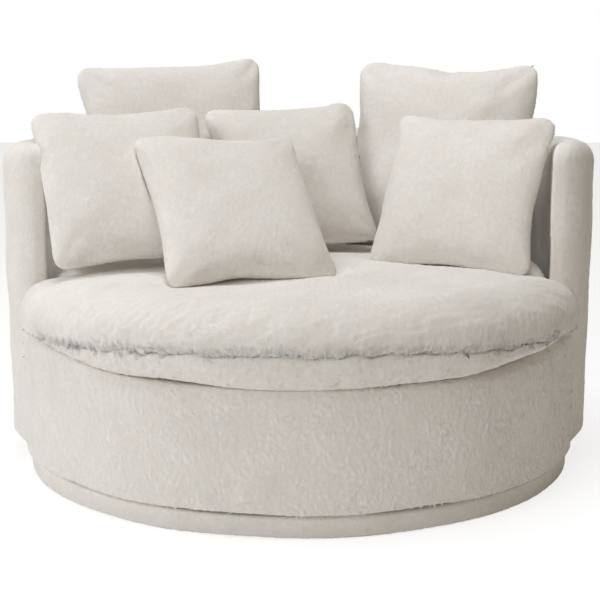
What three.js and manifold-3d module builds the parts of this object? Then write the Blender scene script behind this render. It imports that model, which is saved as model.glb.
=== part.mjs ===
// Round cuddle chair: a long-pile tub that swivels on a low plinth, a loose seat cushion and six pillows.
// Millimetres, +Z up. The origin is on the floor, on the swivel axis, and the open front faces -Y.
import * as THREE from 'three';
import { mergeVertices } from 'three/addons/utils/BufferGeometryUtils.js';
import Module from 'manifold-3d';

const wasm = await Module();
wasm.setup();

// Fits that every piece shares
const fitGap = 0.3;
const fillGap = 0.4;
const cutOverrun = 20;
const pileThickness = 8;
const panelThickness = 3;
const boardThickness = 18;
const fullTurn = 360;
const halfTurn = 180;
const quarterTurn = 90;
const roundSegments = 45;

// Plinth and swivel
const glideHeight = 4;
const glideRadius = 16;
const glideCount = 6;
const glideSides = 12;
const plinthSetBack = 56;
const plinthTop = 50;
const plinthCoverLift = 2;
const plinthRingWidth = 60;
const plinthRingHeight = 40;
const plinthCoverLip = 34;
const crossBeamWidth = 70;
const swivelPlateSide = 305;
const swivelPlateThickness = 3;
const ballRaceHeight = 9;
const ballRaceInnerRadius = 68;
const ballRaceOuterRadius = 112;
const dustCoverThickness = 1;
const dustCoverMargin = 12;

// Tub wall
const wallRadius = 750;
const wallThickness = 106;
const wallTop = 820;
const wallPastSide = 14;
const wallSegments = 26;
const noseSteps = 3;
const wallTopRounding = 40;
const wallTopSteps = 2;
const wallFootRounding = 10;
const wallFoamThickness = 18;
const tubUnderside = 56;
const wallPostWidth = 40;
const wallPostCount = 6;
const wallRailHeight = 18;

// Drum front
const frontSetBack = 44;
const frontSegments = 19;
const frontFoamThickness = 18;
const frontRounding = 30;
const frontRoundingSteps = 3;
const frontLipWidth = 56;
const frontFootRounding = 6;

// Seat deck
const seatPlane = 334;
const deckWallClearance = 8;
const deckRingWidth = 66;
const deckPadThickness = 22;
const deckPadMargin = 6;
const webbingWidth = 60;
const webbingThickness = 1.5;
const webbingPitch = 200;
const webbingPerWay = 4;
const webbingEndMargin = 14;
const deckRibThickness = 18;
const deckRibDepth = 80;
const frontRibFacets = [3, 9, 15];
const rearRibCount = 5;
const rearRibSpread = 160;

// Loose seat cushion
const cushionSetBack = 22;
const cushionWallClearance = 5;
const cushionLowerHeight = 71;
const cushionUpperHeight = 108;
const cushionCrown = 12;
const cushionSeamDepth = 10;
const cushionFootWidth = 40;
const cushionFrontRoll = 110;
const cushionRearRoll = 60;
const cushionEarAngle = 19;
const cushionEarCorner = 40;
const cushionCornerSteps = 3;
const cushionFrontSteps = 18;
const cushionRearSteps = 26;
const cushionZipLength = 600;
const cushionZipWidth = 6;
const cushionEarLeastShare = 0.2;

// Scatter pillows
const backPillowSize = 510;
const backPillowThickness = 156;
const frontPillowSize = 420;
const frontPillowThickness = 140;
const middlePillowSize = 408;
const middlePillowThickness = 136;
const pillowSeamThickness = 12;
const pillowSeamLeastShare = 0.25;
const pillowDrawInShare = 0.07;
const pillowFullnessShare = 0.62;
const pillowHemWidth = 24;
const pillowSteps = 10;
const pillowCoreSteps = 6;
const pillowZipShare = 0.6;
const pillowZipWidth = 5;
const pillowZipHeightShare = 0.34;

// Heights that follow from the sizes above
const plinthRingBase = glideHeight + fitGap;
const plinthRingTop = plinthRingBase + plinthRingHeight;
const boardBase = tubUnderside + dustCoverThickness + fitGap;
const boardTop = boardBase + boardThickness;
const upperPlateBase = boardBase - fitGap - swivelPlateThickness;
const ballRaceBase = upperPlateBase - fitGap - ballRaceHeight;
const lowerPlateBase = ballRaceBase - fitGap - swivelPlateThickness;
const crossTop = lowerPlateBase - fitGap;
const padBase = seatPlane - fitGap - deckPadThickness;
const upperWebbingBase = padBase - fitGap - webbingThickness;
const lowerWebbingBase = upperWebbingBase - fitGap - webbingThickness;
const deckRingBase = lowerWebbingBase - fitGap - boardThickness;
const cushionSeam = seatPlane + cushionLowerHeight;
const cushionTop = cushionSeam + cushionUpperHeight + cushionCrown;

// Radii that follow from the sizes above
const plinthRadius = wallRadius - plinthSetBack;
const plinthRingOuter = plinthRadius - pileThickness - fitGap;
const plinthRingInner = plinthRingOuter - plinthRingWidth;
const wallMid = wallRadius - wallThickness / 2;
const wallHalf = wallThickness / 2;
const wallFoamInset = pileThickness + fitGap;
const wallPanelInset = wallFoamInset + wallFoamThickness + fitGap;
const wallPanelHalf = wallHalf - wallPanelInset;
const wallCoreHalf = wallPanelHalf - panelThickness - fitGap;
const wallFacet = (halfTurn + 2 * wallPastSide) / wallSegments;
const frontRadius = wallRadius - frontSetBack;
const frontFoamOuter = frontRadius - pileThickness - fitGap;
const frontPanelOuter = frontFoamOuter - frontFoamThickness - fitGap;
const frontPanelInner = frontPanelOuter - panelThickness;
const deckRingOuterRadius = wallRadius - wallThickness - deckWallClearance;
const deckPadRadius = deckRingOuterRadius - deckPadMargin;
const cushionRadius = wallRadius - cushionSetBack;
const cushionRearRadius = wallRadius - wallThickness - cushionWallClearance;

const radians = THREE.MathUtils.degToRad;

function polar(radius, angle, z) {
  return new THREE.Vector3(radius * Math.cos(radians(angle)), radius * Math.sin(radians(angle)), z);
}

function steps(count) {
  return Array.from({ length: count + 1 }, (_, i) => i / count);
}

function indexed(points, triangles) {
  const geometry = new THREE.BufferGeometry();
  geometry.setAttribute('position', new THREE.Float32BufferAttribute(points.flatMap((p) => p.toArray()), 3));
  geometry.setIndex(triangles.flat());
  return geometry;
}

// Shared vertices, no empty triangles and faces that point out
function closed(source) {
  const geometry = source.clone();
  geometry.deleteAttribute('normal');
  geometry.deleteAttribute('uv');
  const merged = mergeVertices(geometry);
  const index = Array.from(merged.index.array);
  const position = merged.attributes.position;
  const corner = [new THREE.Vector3(), new THREE.Vector3(), new THREE.Vector3()];
  const kept = [];
  let volume = 0;
  for (let i = 0; i < index.length; i += 3) {
    const [a, b, c] = index.slice(i, i + 3);
    if (a === b || b === c || c === a) continue;
    [a, b, c].forEach((v, k) => corner[k].fromBufferAttribute(position, v));
    volume += corner[0].dot(corner[1].clone().cross(corner[2]));
    kept.push([a, b, c]);
  }
  merged.setIndex(kept.flatMap(([a, b, c]) => (volume > 0 ? [a, b, c] : [a, c, b])));
  return merged;
}

function toSolid(geometry) {
  const ready = closed(geometry);
  return new wasm.Manifold(new wasm.Mesh({
    numProp: 3,
    vertProperties: new Float32Array(ready.attributes.position.array),
    triVerts: new Uint32Array(ready.index.array),
  }));
}

function cut(geometry, cutters) {
  const solid = cutters.reduce((rest, cutter) => rest.subtract(toSolid(cutter)), toSolid(geometry));
  const mesh = solid.getMesh();
  const result = new THREE.BufferGeometry();
  result.setAttribute('position', new THREE.Float32BufferAttribute(mesh.vertProperties, mesh.numProp));
  result.setIndex(Array.from(mesh.triVerts));
  return result;
}

// Skin over a stack of closed loops, all anticlockwise seen from above, from the lowest to the highest
function loft(loops, capPairs, bottomPoint, topPoint) {
  const count = loops[0].length;
  const points = loops.flat();
  const triangles = [];
  for (let row = 0; row < loops.length - 1; row += 1) {
    for (let k = 0; k < count; k += 1) {
      const a = row * count + k;
      const b = row * count + ((k + 1) % count);
      triangles.push([a, b, b + count], [a, b + count, a + count]);
    }
  }
  const top = (loops.length - 1) * count;
  if (capPairs) {
    for (const [a, b, c] of capPairs) triangles.push([a, c, b], [top + a, top + b, top + c]);
  } else {
    points.push(bottomPoint, topPoint);
    const centre = points.length - 2;
    for (let k = 0; k < count; k += 1) {
      const next = (k + 1) % count;
      triangles.push([centre, next, k], [centre + 1, top + k, top + next]);
    }
  }
  return indexed(points, triangles);
}

// Plan outline of the tub wall: an arc of one thickness with half-round front ends
function wallLoop(half, z) {
  const turns = steps(noseSteps).slice(1, -1).map((t) => radians(t * quarterTurn));
  const start = -wallPastSide;
  const end = halfTurn + wallPastSide;
  const outer = [
    ...turns.map((turn) => [-half * Math.cos(turn), half * Math.sin(turn), start]),
    ...steps(wallSegments).map((t) => [0, half, start + (end - start) * t]),
    ...turns.toReversed().map((turn) => [half * Math.cos(turn), half * Math.sin(turn), end]),
  ];
  const place = ([along, out, angle]) => {
    const point = polar(wallMid + out, angle, z);
    return point.add(polar(along, angle + quarterTurn, 0));
  };
  return [
    place([-half, 0, start]),
    ...outer.map(place),
    place([half, 0, end]),
    ...outer.toReversed().map(([along, out, angle]) => place([along, -out, angle])),
  ];
}

function wallCapPairs() {
  const side = wallSegments + 1 + 2 * (noseSteps - 1);
  const total = 2 * side + 2;
  const pairs = [[0, 1, total - 1], [side, side + 1, side + 2]];
  for (let k = 1; k < side; k += 1) pairs.push([k, k + 1, total - k - 1], [k, total - k - 1, total - k]);
  return pairs;
}

// The wall's outer form, drawn in all round by an inset, or grown by a negative one
function wallForm(inset, base, footRounding) {
  const half = wallHalf - inset;
  const rounding = wallTopRounding - inset;
  const top = wallTop - inset;
  const loops = [wallLoop(half - footRounding, base)];
  if (footRounding) loops.push(wallLoop(half, base + footRounding));
  for (const t of steps(wallTopSteps)) {
    const turn = radians(t * quarterTurn);
    loops.push(wallLoop(half - rounding * (1 - Math.cos(turn)), top - rounding * (1 - Math.sin(turn))));
  }
  return loft(loops, wallCapPairs());
}

// A closed profile of [radius, z] points swept about the swivel axis
function arcSolid(profile, start, end, segments) {
  const outline = profile.map(([r, z]) => new THREE.Vector2(r, z));
  const section = (angle) => profile.map(([r, z]) => polar(r, angle, z));
  const points = steps(segments).flatMap((t) => section(start + (end - start) * t));
  const count = profile.length;
  const triangles = [];
  for (let s = 0; s < segments; s += 1) {
    for (let k = 0; k < count; k += 1) {
      const a = s * count + k;
      const b = s * count + ((k + 1) % count);
      triangles.push([a, a + count, b + count], [a, b + count, b]);
    }
  }
  const last = segments * count;
  for (const [a, b, c] of THREE.ShapeUtils.triangulateShape(outline, [])) {
    triangles.push([a, b, c], [last + a, last + c, last + b]);
  }
  return indexed(points, triangles);
}

// A full ring or disc turned from a profile of [radius, z] points
function turned(profile) {
  const points = profile.map(([r, z]) => new THREE.Vector2(r, z));
  return new THREE.LatheGeometry(points, roundSegments).rotateX(radians(quarterTurn));
}

function ringProfile(inner, outer, base, top) {
  return [[inner, base], [outer, base], [outer, top], [inner, top], [inner, base]];
}

function disc(radius, base, thickness) {
  return turned([[0, base], [radius, base], [radius, base + thickness], [0, base + thickness]]);
}

function block(width, depth, base, top) {
  return new THREE.BoxGeometry(width, depth, top - base).translate(0, 0, (base + top) / 2);
}

function plate(side, base, thickness) {
  return block(side, side, base, base + thickness);
}

// Plan outline of the floor board, which reaches further out under the wall than under the drum front
function boardOutline(growth) {
  const wallReach = wallMid + wallPanelHalf + growth;
  const frontReach = frontPanelOuter + growth;
  const turn = THREE.MathUtils.radToDeg(growth / wallReach);
  const start = -wallPastSide - turn;
  const end = halfTurn + wallPastSide + turn;
  const rear = steps(wallSegments).map((t) => polar(wallReach, start + (end - start) * t, 0));
  const front = steps(frontSegments).map((t) => polar(frontReach, end + (fullTurn + start - end) * t, 0));
  return new THREE.Shape([...rear, ...front].map((p) => new THREE.Vector2(p.x, p.y)));
}

function boardSlab(growth, base, top) {
  return new THREE.ExtrudeGeometry(boardOutline(growth), { depth: top - base, bevelEnabled: false })
    .translate(0, 0, base);
}

function wallCoreSpace() {
  const half = wallPanelHalf + fitGap;
  return loft([wallLoop(half, tubUnderside - cutOverrun), wallLoop(half, panelTop + fitGap)], wallCapPairs());
}

function boardPocket() {
  return boardSlab(fitGap, tubUnderside - cutOverrun, boardTop + fitGap);
}

function noseCutter() {
  return wallForm(-fitGap, tubUnderside - cutOverrun, 0);
}

// Covers, padding and frame of the wall
function wallCover() {
  const hollow = wallForm(pileThickness, tubUnderside - cutOverrun, 0);
  return cut(wallForm(0, tubUnderside, wallFootRounding), [hollow, boardPocket()]);
}

function wallPadding() {
  return cut(wallForm(wallFoamInset, tubUnderside + dustCoverThickness, 0), [wallCoreSpace(), boardPocket()]);
}

function wallBand(inner, outer, base, top) {
  const profile = ringProfile(inner, outer, base, top).slice(0, -1);
  return arcSolid(profile, -wallPastSide, halfTurn + wallPastSide, wallSegments);
}

const panelBase = boardTop + fitGap;
const panelTop = wallTop - wallPanelInset;
const railBase = panelTop - wallRailHeight;

function wallPost(index) {
  const facet = Math.round(((wallSegments - 1) * index) / (wallPostCount - 1));
  const angle = -wallPastSide + (facet + 1 / 2) * wallFacet;
  const flat = Math.cos(radians(wallFacet / 2));
  const outer = (wallMid + wallCoreHalf + fitGap) * flat - fitGap;
  const inner = (wallMid - wallCoreHalf - fitGap) * flat + fitGap;
  const geometry = block(outer - inner, wallPostWidth, panelBase, railBase - fitGap);
  return geometry.translate((outer + inner) / 2, 0, 0).rotateZ(radians(angle));
}

// Drum front: its cover turns in over the top to form a lip under the seat cushion
const frontTop = seatPlane - fitGap;
const frontArcRadius = frontRadius - frontRounding;
const frontArcHeight = frontTop - frontRounding;

function frontArc(inset) {
  return steps(frontRoundingSteps).map((t) => {
    const turn = radians(t * quarterTurn);
    const reach = frontRounding - inset;
    return [frontArcRadius + reach * Math.cos(turn), frontArcHeight + reach * Math.sin(turn)];
  });
}

function frontBand(profile) {
  const band = arcSolid(profile, halfTurn + wallPastSide, fullTurn - wallPastSide, frontSegments);
  return cut(band, [noseCutter()]);
}

function frontCover() {
  const lip = frontRadius - frontLipWidth;
  return frontBand([
    [frontRadius - pileThickness, tubUnderside],
    [frontRadius - frontFootRounding, tubUnderside],
    [frontRadius, tubUnderside + frontFootRounding],
    ...frontArc(0),
    [lip, frontTop],
    [lip, frontTop - pileThickness],
    ...frontArc(pileThickness).reverse(),
  ]);
}

function frontPadding() {
  const inset = pileThickness + fitGap;
  const lip = frontRadius - frontLipWidth;
  const shelf = frontArcHeight;
  return frontBand([
    [frontFoamOuter - frontFoamThickness, tubUnderside + dustCoverThickness],
    [frontFoamOuter, tubUnderside + dustCoverThickness],
    ...frontArc(inset),
    [lip, frontTop - inset],
    [lip, shelf],
    [frontFoamOuter - frontFoamThickness, shelf],
  ]);
}

function frontPanel() {
  const profile = ringProfile(frontPanelInner, frontPanelOuter, panelBase, frontArcHeight - fitGap);
  return frontBand(profile.slice(0, -1));
}

// Seat deck inside the tub
function deckRib(outer, angle) {
  const geometry = block(deckRibDepth, deckRibThickness, panelBase, deckRingBase - fitGap);
  return geometry.translate(outer - deckRibDepth / 2, 0, 0).rotateZ(radians(angle));
}

function frontRib(facet) {
  const frontFacet = (halfTurn - 2 * wallPastSide) / frontSegments;
  const angle = halfTurn + wallPastSide + (facet + 1 / 2) * frontFacet;
  return deckRib(frontPanelInner * Math.cos(radians(frontFacet / 2)) - fitGap, angle);
}

function rearRib(index) {
  const angle = quarterTurn + (index / (rearRibCount - 1) - 1 / 2) * rearRibSpread;
  return deckRib(deckRingOuterRadius, angle);
}

function webbing(index, base, turn) {
  const offset = (index - (webbingPerWay - 1) / 2) * webbingPitch;
  const edge = Math.abs(offset) + webbingWidth / 2;
  const reach = Math.sqrt((deckRingOuterRadius - webbingEndMargin) ** 2 - edge ** 2);
  const strap = block(2 * reach, webbingWidth, base, base + webbingThickness);
  return strap.translate(0, offset, 0).rotateZ(radians(turn));
}

// Plan outline of the seat cushion: a wide front with two ears ahead of the wall, and a rear inside the wall
function cushionLoop(frontInset, rearInset, z) {
  const corner = Math.max(cushionEarCorner - frontInset, cushionEarCorner * cushionEarLeastShare);
  const front = cushionRadius - frontInset;
  const rear = cushionRearRadius - rearInset;
  const ear = -cushionEarAngle - THREE.MathUtils.radToDeg(Math.asin(frontInset / rear));
  const swing = THREE.MathUtils.radToDeg(Math.asin(corner / (front - corner)));
  const centre = polar(front - corner, ear - swing, z);
  const right = steps(cushionCornerSteps).map((t) => {
    const angle = ear - swing + (swing + quarterTurn) * t;
    return centre.clone().add(polar(corner, angle, 0));
  });
  const left = right.map((p) => new THREE.Vector3(-p.x, p.y, z)).reverse();
  const rearSpan = halfTurn - 2 * ear;
  const frontStart = halfTurn - ear + swing;
  const frontSpan = halfTurn + 2 * (ear - swing);
  return [
    ...right,
    ...steps(cushionRearSteps).map((t) => polar(rear, ear + rearSpan * t, z)),
    ...left,
    ...steps(cushionFrontSteps).slice(1, -1).map((t) => polar(front, frontStart + frontSpan * t, z)),
  ];
}

// Rows of height share and inset share below the seam, and of turn share above it
const cushionLowerShares = [[0, 1], [0.16, 0.36], [0.4, 0.06], [0.7, 0], [0.92, 0.08]];
const cushionRollShares = [0, 0.2, 0.4, 0.62, 0.8, 1];
const cushionRollStartShare = 0.14;
const cushionCrownShares = [0.72, 0.36];
const cushionCoreLowerShares = [[0, 1], [0.4, 0.06]];
const cushionCoreRollShares = [0, 0.4, 1];
const cushionCoreCrownShares = [0.5];

function cushionForm(inset, lowerShares, rollShares, crownShares, seam) {
  const middle = seatPlane + (cushionTop - seatPlane) / 2;
  const squeeze = 1 - (2 * inset) / (cushionTop - seatPlane);
  const height = (z) => middle + (z - middle) * squeeze;
  const loop = (frontInset, rearInset, z) => cushionLoop(frontInset + inset, rearInset + inset, height(z));
  const loops = lowerShares.map(([rise, draw]) => {
    const width = cushionFootWidth * draw;
    return loop(width, width, seatPlane + cushionLowerHeight * rise);
  });
  if (seam) loops.push(loop(seam, seam, cushionSeam));
  const rollBase = cushionSeam + cushionUpperHeight * cushionRollStartShare;
  const rollHeight = cushionUpperHeight * (1 - cushionRollStartShare);
  for (const share of rollShares) {
    const turn = radians(share * quarterTurn);
    const z = rollBase + rollHeight * Math.sin(turn);
    loops.push(loop(cushionFrontRoll * (1 - Math.cos(turn)), cushionRearRoll * (1 - Math.cos(turn)), z));
  }
  const flat = cushionLoop(cushionFrontRoll + inset, cushionRearRoll + inset, 0);
  for (const share of crownShares) {
    const z = height(cushionTop - cushionCrown * share * share);
    loops.push(flat.map((p) => new THREE.Vector3(p.x * share, p.y * share, z)));
  }
  const bottom = new THREE.Vector3(0, 0, height(seatPlane));
  const top = new THREE.Vector3(0, 0, height(cushionTop));
  return loft(loops, null, bottom, top);
}

function cushionOuter(inset) {
  return cushionForm(inset, cushionLowerShares, cushionRollShares, cushionCrownShares, cushionSeamDepth);
}

function cushionInner(inset) {
  return cushionForm(inset, cushionCoreLowerShares, cushionCoreRollShares, cushionCoreCrownShares, 0);
}

const cushionCoreInset = 2 * pileThickness;

function cushionCover() {
  const sag = cushionRearRadius - Math.sqrt(cushionRearRadius ** 2 - (cushionZipLength / 2) ** 2);
  const depth = 2 * (sag + cushionCoreInset + cutOverrun);
  const slot = block(cushionZipLength, depth, -cushionZipWidth / 2, cushionZipWidth / 2)
    .translate(0, cushionRearRadius, seatPlane + cushionLowerHeight / 2);
  return cut(cushionOuter(0), [cushionInner(cushionCoreInset), slot]);
}

// A scatter pillow: crowned faces, sides drawn in between pointed corners and a narrow band at the seam
function pillowForm(half, halfThickness, seamHalf, divisions) {
  const points = [];
  const at = (side, i, j) => side * (divisions + 1) ** 2 + i * (divisions + 1) + j;
  for (const side of [1, -1]) {
    for (const s of steps(divisions)) {
      for (const t of steps(divisions)) {
        const u = Math.sin(radians(quarterTurn * (2 * s - 1)));
        const v = Math.sin(radians(quarterTurn * (2 * t - 1)));
        const crown = ((1 - u * u) * (1 - v * v)) ** pillowFullnessShare;
        const x = half * u * (1 - pillowDrawInShare * (1 - v * v));
        const y = half * v * (1 - pillowDrawInShare * (1 - u * u));
        points.push(new THREE.Vector3(x, y, side * (seamHalf + (halfThickness - seamHalf) * crown)));
      }
    }
  }
  const triangles = [];
  const quad = (a, b, c, d) => triangles.push([a, b, c], [a, c, d]);
  for (let i = 0; i < divisions; i += 1) {
    for (let j = 0; j < divisions; j += 1) {
      quad(at(0, i, j), at(0, i + 1, j), at(0, i + 1, j + 1), at(0, i, j + 1));
      quad(at(1, i, j), at(1, i, j + 1), at(1, i + 1, j + 1), at(1, i + 1, j));
    }
    quad(at(1, i, 0), at(1, i + 1, 0), at(0, i + 1, 0), at(0, i, 0));
    quad(at(1, divisions, i), at(1, divisions, i + 1), at(0, divisions, i + 1), at(0, divisions, i));
    quad(at(1, i + 1, divisions), at(1, i, divisions), at(0, i, divisions), at(0, i + 1, divisions));
    quad(at(1, 0, i + 1), at(1, 0, i), at(0, 0, i), at(0, 0, i + 1));
  }
  return indexed(points, triangles);
}

// Each pillow's foot on the seat as shares of the wall's radius, its sink into the seat as a share of its own
// thickness, and its turns in degrees, from the frontmost pillow to the rearmost
const small = { size: frontPillowSize, thickness: frontPillowThickness };
const middle = { size: middlePillowSize, thickness: middlePillowThickness };
const large = { size: backPillowSize, thickness: backPillowThickness };
const pillows = [
  { name: 'front_centre', ...small, yaw: 20.5, lean: 42.4, roll: 1, footShares: [-0.1339, -0.4788],
    sinkShare: 0.1166 },
  { name: 'front_right', ...small, yaw: -23.2, lean: 31.8, roll: 0, footShares: [0.4989, -0.1626],
    sinkShare: 0.1552 },
  { name: 'front_left', ...small, yaw: 18.1, lean: 34.4, roll: 2.6, footShares: [-0.4939, -0.3684],
    sinkShare: -0.0855 },
  { name: 'middle', ...middle, yaw: 14.5, lean: 30.6, roll: 3.1, footShares: [0.0107, 0.007],
    sinkShare: -0.0655 },
  { name: 'back_right', ...large, yaw: -24, lean: 20, roll: -1, footShares: [0.4597, 0.2138],
    sinkShare: 0.0457 },
  { name: 'back_left', ...large, yaw: 18, lean: 21.3, roll: 3.3, footShares: [-0.3798, 0.1495],
    sinkShare: -0.0155 },
];

function finish(color, roughness, metalness) {
  return () => new THREE.MeshStandardMaterial({ color, roughness, metalness });
}

const pileCloth = finish('#e6e2da', 0.95, 0);
const pillowCloth = finish('#eae6de', 0.95, 0);
const foam = finish('#e9dfc0', 0.9, 0);
const fibreFill = finish('#f4f3ef', 0.95, 0);
const plywood = finish('#c9a36d', 0.7, 0);
const hardboard = finish('#8a6440', 0.75, 0);
const webbingCloth = finish('#4b4a47', 0.85, 0);
const blackCloth = finish('#1d1d1f', 0.95, 0);
const zincSteel = finish('#a9adb0', 0.4, 0.9);
const glidePlastic = finish('#26262a', 0.5, 0);

function piece(parent, name, geometry, material) {
  const mesh = new THREE.Mesh(closed(geometry), material());
  mesh.name = name;
  parent.add(mesh);
  return mesh;
}

function buildPlinth(chair) {
  const plinth = new THREE.Group();
  chair.add(plinth);
  const ringMiddle = plinthRingOuter - plinthRingWidth / 2;
  for (let i = 0; i < glideCount; i += 1) {
    const glide = new THREE.CylinderGeometry(glideRadius, glideRadius, glideHeight, glideSides);
    const mesh = piece(plinth, `glide_${i + 1}`, glide.rotateX(radians(quarterTurn)), glidePlastic);
    mesh.position.copy(polar(ringMiddle, (fullTurn / glideCount) * (i + 1 / 2), glideHeight / 2));
  }
  const ring = ringProfile(plinthRingInner, plinthRingOuter, plinthRingBase, plinthRingTop);
  piece(plinth, 'plinth_ring', turned(ring), plywood);
  const reach = (plinthRingInner * Math.cos(radians(halfTurn / roundSegments)) - fitGap) ** 2;
  const beamLength = 2 * Math.sqrt(reach - (crossBeamWidth / 2) ** 2);
  const beam = block(beamLength, crossBeamWidth, plinthRingBase, crossTop);
  const across = toSolid(beam).add(toSolid(beam.clone().rotateZ(radians(quarterTurn)))).getMesh();
  const cross = new THREE.BufferGeometry();
  cross.setAttribute('position', new THREE.Float32BufferAttribute(across.vertProperties, across.numProp));
  cross.setIndex(Array.from(across.triVerts));
  piece(plinth, 'plinth_cross', cross, plywood);
  const skinInner = plinthRadius - pileThickness;
  const lip = plinthRadius - plinthCoverLip;
  piece(plinth, 'plinth_cover', turned([
    [skinInner, plinthCoverLift],
    [plinthRadius, plinthCoverLift],
    [plinthRadius, plinthTop - pileThickness / 2],
    [plinthRadius - pileThickness / 2, plinthTop],
    [lip, plinthTop],
    [lip, plinthRingTop + fitGap],
    [skinInner, plinthRingTop + fitGap],
    [skinInner, plinthCoverLift],
  ]), pileCloth);
  const lowerPlate = plate(swivelPlateSide, lowerPlateBase, swivelPlateThickness);
  piece(plinth, 'swivel_lower_plate', lowerPlate, zincSteel);
  const raceTop = ballRaceBase + ballRaceHeight;
  const race = ringProfile(ballRaceInnerRadius, ballRaceOuterRadius, ballRaceBase, raceTop);
  piece(plinth, 'swivel_ball_race', turned(race), zincSteel);
}

function buildTubFloor(tub) {
  const upperPlate = plate(swivelPlateSide, upperPlateBase, swivelPlateThickness);
  piece(tub, 'swivel_upper_plate', upperPlate, zincSteel);
  const edge = frontFoamOuter - frontFoamThickness - dustCoverMargin;
  const holeSide = swivelPlateSide + dustCoverMargin;
  const plateHole = block(holeSide, holeSide, tubUnderside - cutOverrun, tubUnderside + cutOverrun);
  piece(tub, 'dust_cover', cut(disc(edge, tubUnderside, dustCoverThickness), [plateHole]), blackCloth);
  piece(tub, 'floor_board', boardSlab(0, boardBase, boardTop), plywood);
}

function buildWall(tub) {
  for (let i = 0; i < wallPostCount; i += 1) {
    piece(tub, `wall_post_${i + 1}`, wallPost(i), plywood);
  }
  const rail = wallBand(wallMid - wallCoreHalf, wallMid + wallCoreHalf, railBase, panelTop);
  piece(tub, 'wall_top_rail', rail, plywood);
  const outerFace = wallMid + wallPanelHalf;
  const innerFace = wallMid - wallPanelHalf;
  const outerPanel = wallBand(outerFace - panelThickness, outerFace, panelBase, panelTop);
  const innerPanel = wallBand(innerFace, innerFace + panelThickness, panelBase, panelTop);
  piece(tub, 'wall_outer_panel', outerPanel, hardboard);
  piece(tub, 'wall_inner_panel', innerPanel, hardboard);
  piece(tub, 'wall_padding', wallPadding(), foam);
  piece(tub, 'wall_cover', wallCover(), pileCloth);
}

function buildFront(tub) {
  piece(tub, 'front_panel', frontPanel(), hardboard);
  piece(tub, 'front_padding', frontPadding(), foam);
  piece(tub, 'front_cover', frontCover(), pileCloth);
}

function buildDeck(tub) {
  frontRibFacets.forEach((facet, i) => piece(tub, `front_rib_${i + 1}`, frontRib(facet), plywood));
  for (let i = 0; i < rearRibCount; i += 1) {
    piece(tub, `rear_rib_${i + 1}`, rearRib(i), plywood);
  }
  const deckRingInner = deckRingOuterRadius - deckRingWidth;
  const ring = ringProfile(deckRingInner, deckRingOuterRadius, deckRingBase, deckRingBase + boardThickness);
  piece(tub, 'deck_ring', turned(ring), plywood);
  for (let i = 0; i < webbingPerWay; i += 1) {
    piece(tub, `webbing_across_${i + 1}`, webbing(i, lowerWebbingBase, 0), webbingCloth);
    piece(tub, `webbing_along_${i + 1}`, webbing(i, upperWebbingBase, quarterTurn), webbingCloth);
  }
  piece(tub, 'deck_pad', disc(deckPadRadius, padBase, deckPadThickness), foam);
}

function buildCushion(chair) {
  const cushion = new THREE.Group();
  chair.add(cushion);
  piece(cushion, 'seat_cushion_cover', cushionCover(), pileCloth);
  piece(cushion, 'seat_cushion_core', cushionInner(cushionCoreInset + fillGap), foam);
}

function placePillow(parent, pillow) {
  const stand = new THREE.Group();
  const lean = new THREE.Group();
  const roll = new THREE.Group();
  const [across, back] = pillow.footShares;
  const foot = cushionTop - pillow.sinkShare * pillow.thickness;
  stand.position.set(across * wallRadius, back * wallRadius, foot);
  stand.rotation.z = radians(pillow.yaw);
  lean.rotation.x = radians(quarterTurn - pillow.lean);
  roll.position.y = pillow.size / 2;
  roll.rotation.z = radians(pillow.roll);
  parent.add(stand);
  stand.add(lean);
  lean.add(roll);
  stand.updateMatrixWorld(true);
  return roll;
}

// Each pillow gives way to the seat cushion, the wall and the pillows ahead of it, by one clearance
function buildPillows(chair) {
  const placed = [];
  for (const pillow of pillows) {
    const place = placePillow(chair, pillow);
    const toLocal = place.matrixWorld.clone().invert();
    const form = (grow, hem, divisions) => {
      const seamHalf = Math.max(pillowSeamThickness / 2 + grow, pillowSeamThickness * pillowSeamLeastShare);
      return pillowForm(pillow.size / 2 + grow - hem, pillow.thickness / 2 + grow, seamHalf, divisions);
    };
    const neighbours = (grow) => [
      cushionOuter(-grow),
      wallForm(-grow, tubUnderside, 0),
      ...placed.map((other) => other.form(grow, 0, pillowSteps).applyMatrix4(other.place.matrixWorld)),
    ].map((geometry) => geometry.applyMatrix4(toLocal));
    const outer = cut(form(0, 0, pillowSteps), neighbours(fitGap));
    const lining = form(-pileThickness, pillowHemWidth, pillowCoreSteps);
    const hollow = cut(lining, neighbours(fitGap + pileThickness));
    const slot = block(pillow.size * pillowZipShare, pillowZipWidth, -pillow.thickness, 0)
      .translate(0, -pillow.size * pillowZipHeightShare, 0);
    const core = cut(form(-pileThickness - fillGap, pillowHemWidth + fillGap, pillowCoreSteps),
      neighbours(fitGap + pileThickness + fillGap));
    piece(place, `pillow_${pillow.name}_cover`, cut(outer, [hollow, slot]), pillowCloth);
    piece(place, `pillow_${pillow.name}_fill`, core, fibreFill);
    placed.push({ place, form });
  }
}

const chair = new THREE.Group();
const tub = new THREE.Group();
chair.add(tub);
buildPlinth(chair);
buildTubFloor(tub);
buildDeck(tub);
buildWall(tub);
buildFront(tub);
buildCushion(chair);
buildPillows(chair);

export default chair;
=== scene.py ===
"""A round swivel cuddle chair in cream long-pile cloth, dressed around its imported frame."""

import itertools
import math

import bpy
import numpy as np
from mathutils import Matrix, Vector
from mathutils.bvhtree import BVHTree


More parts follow.
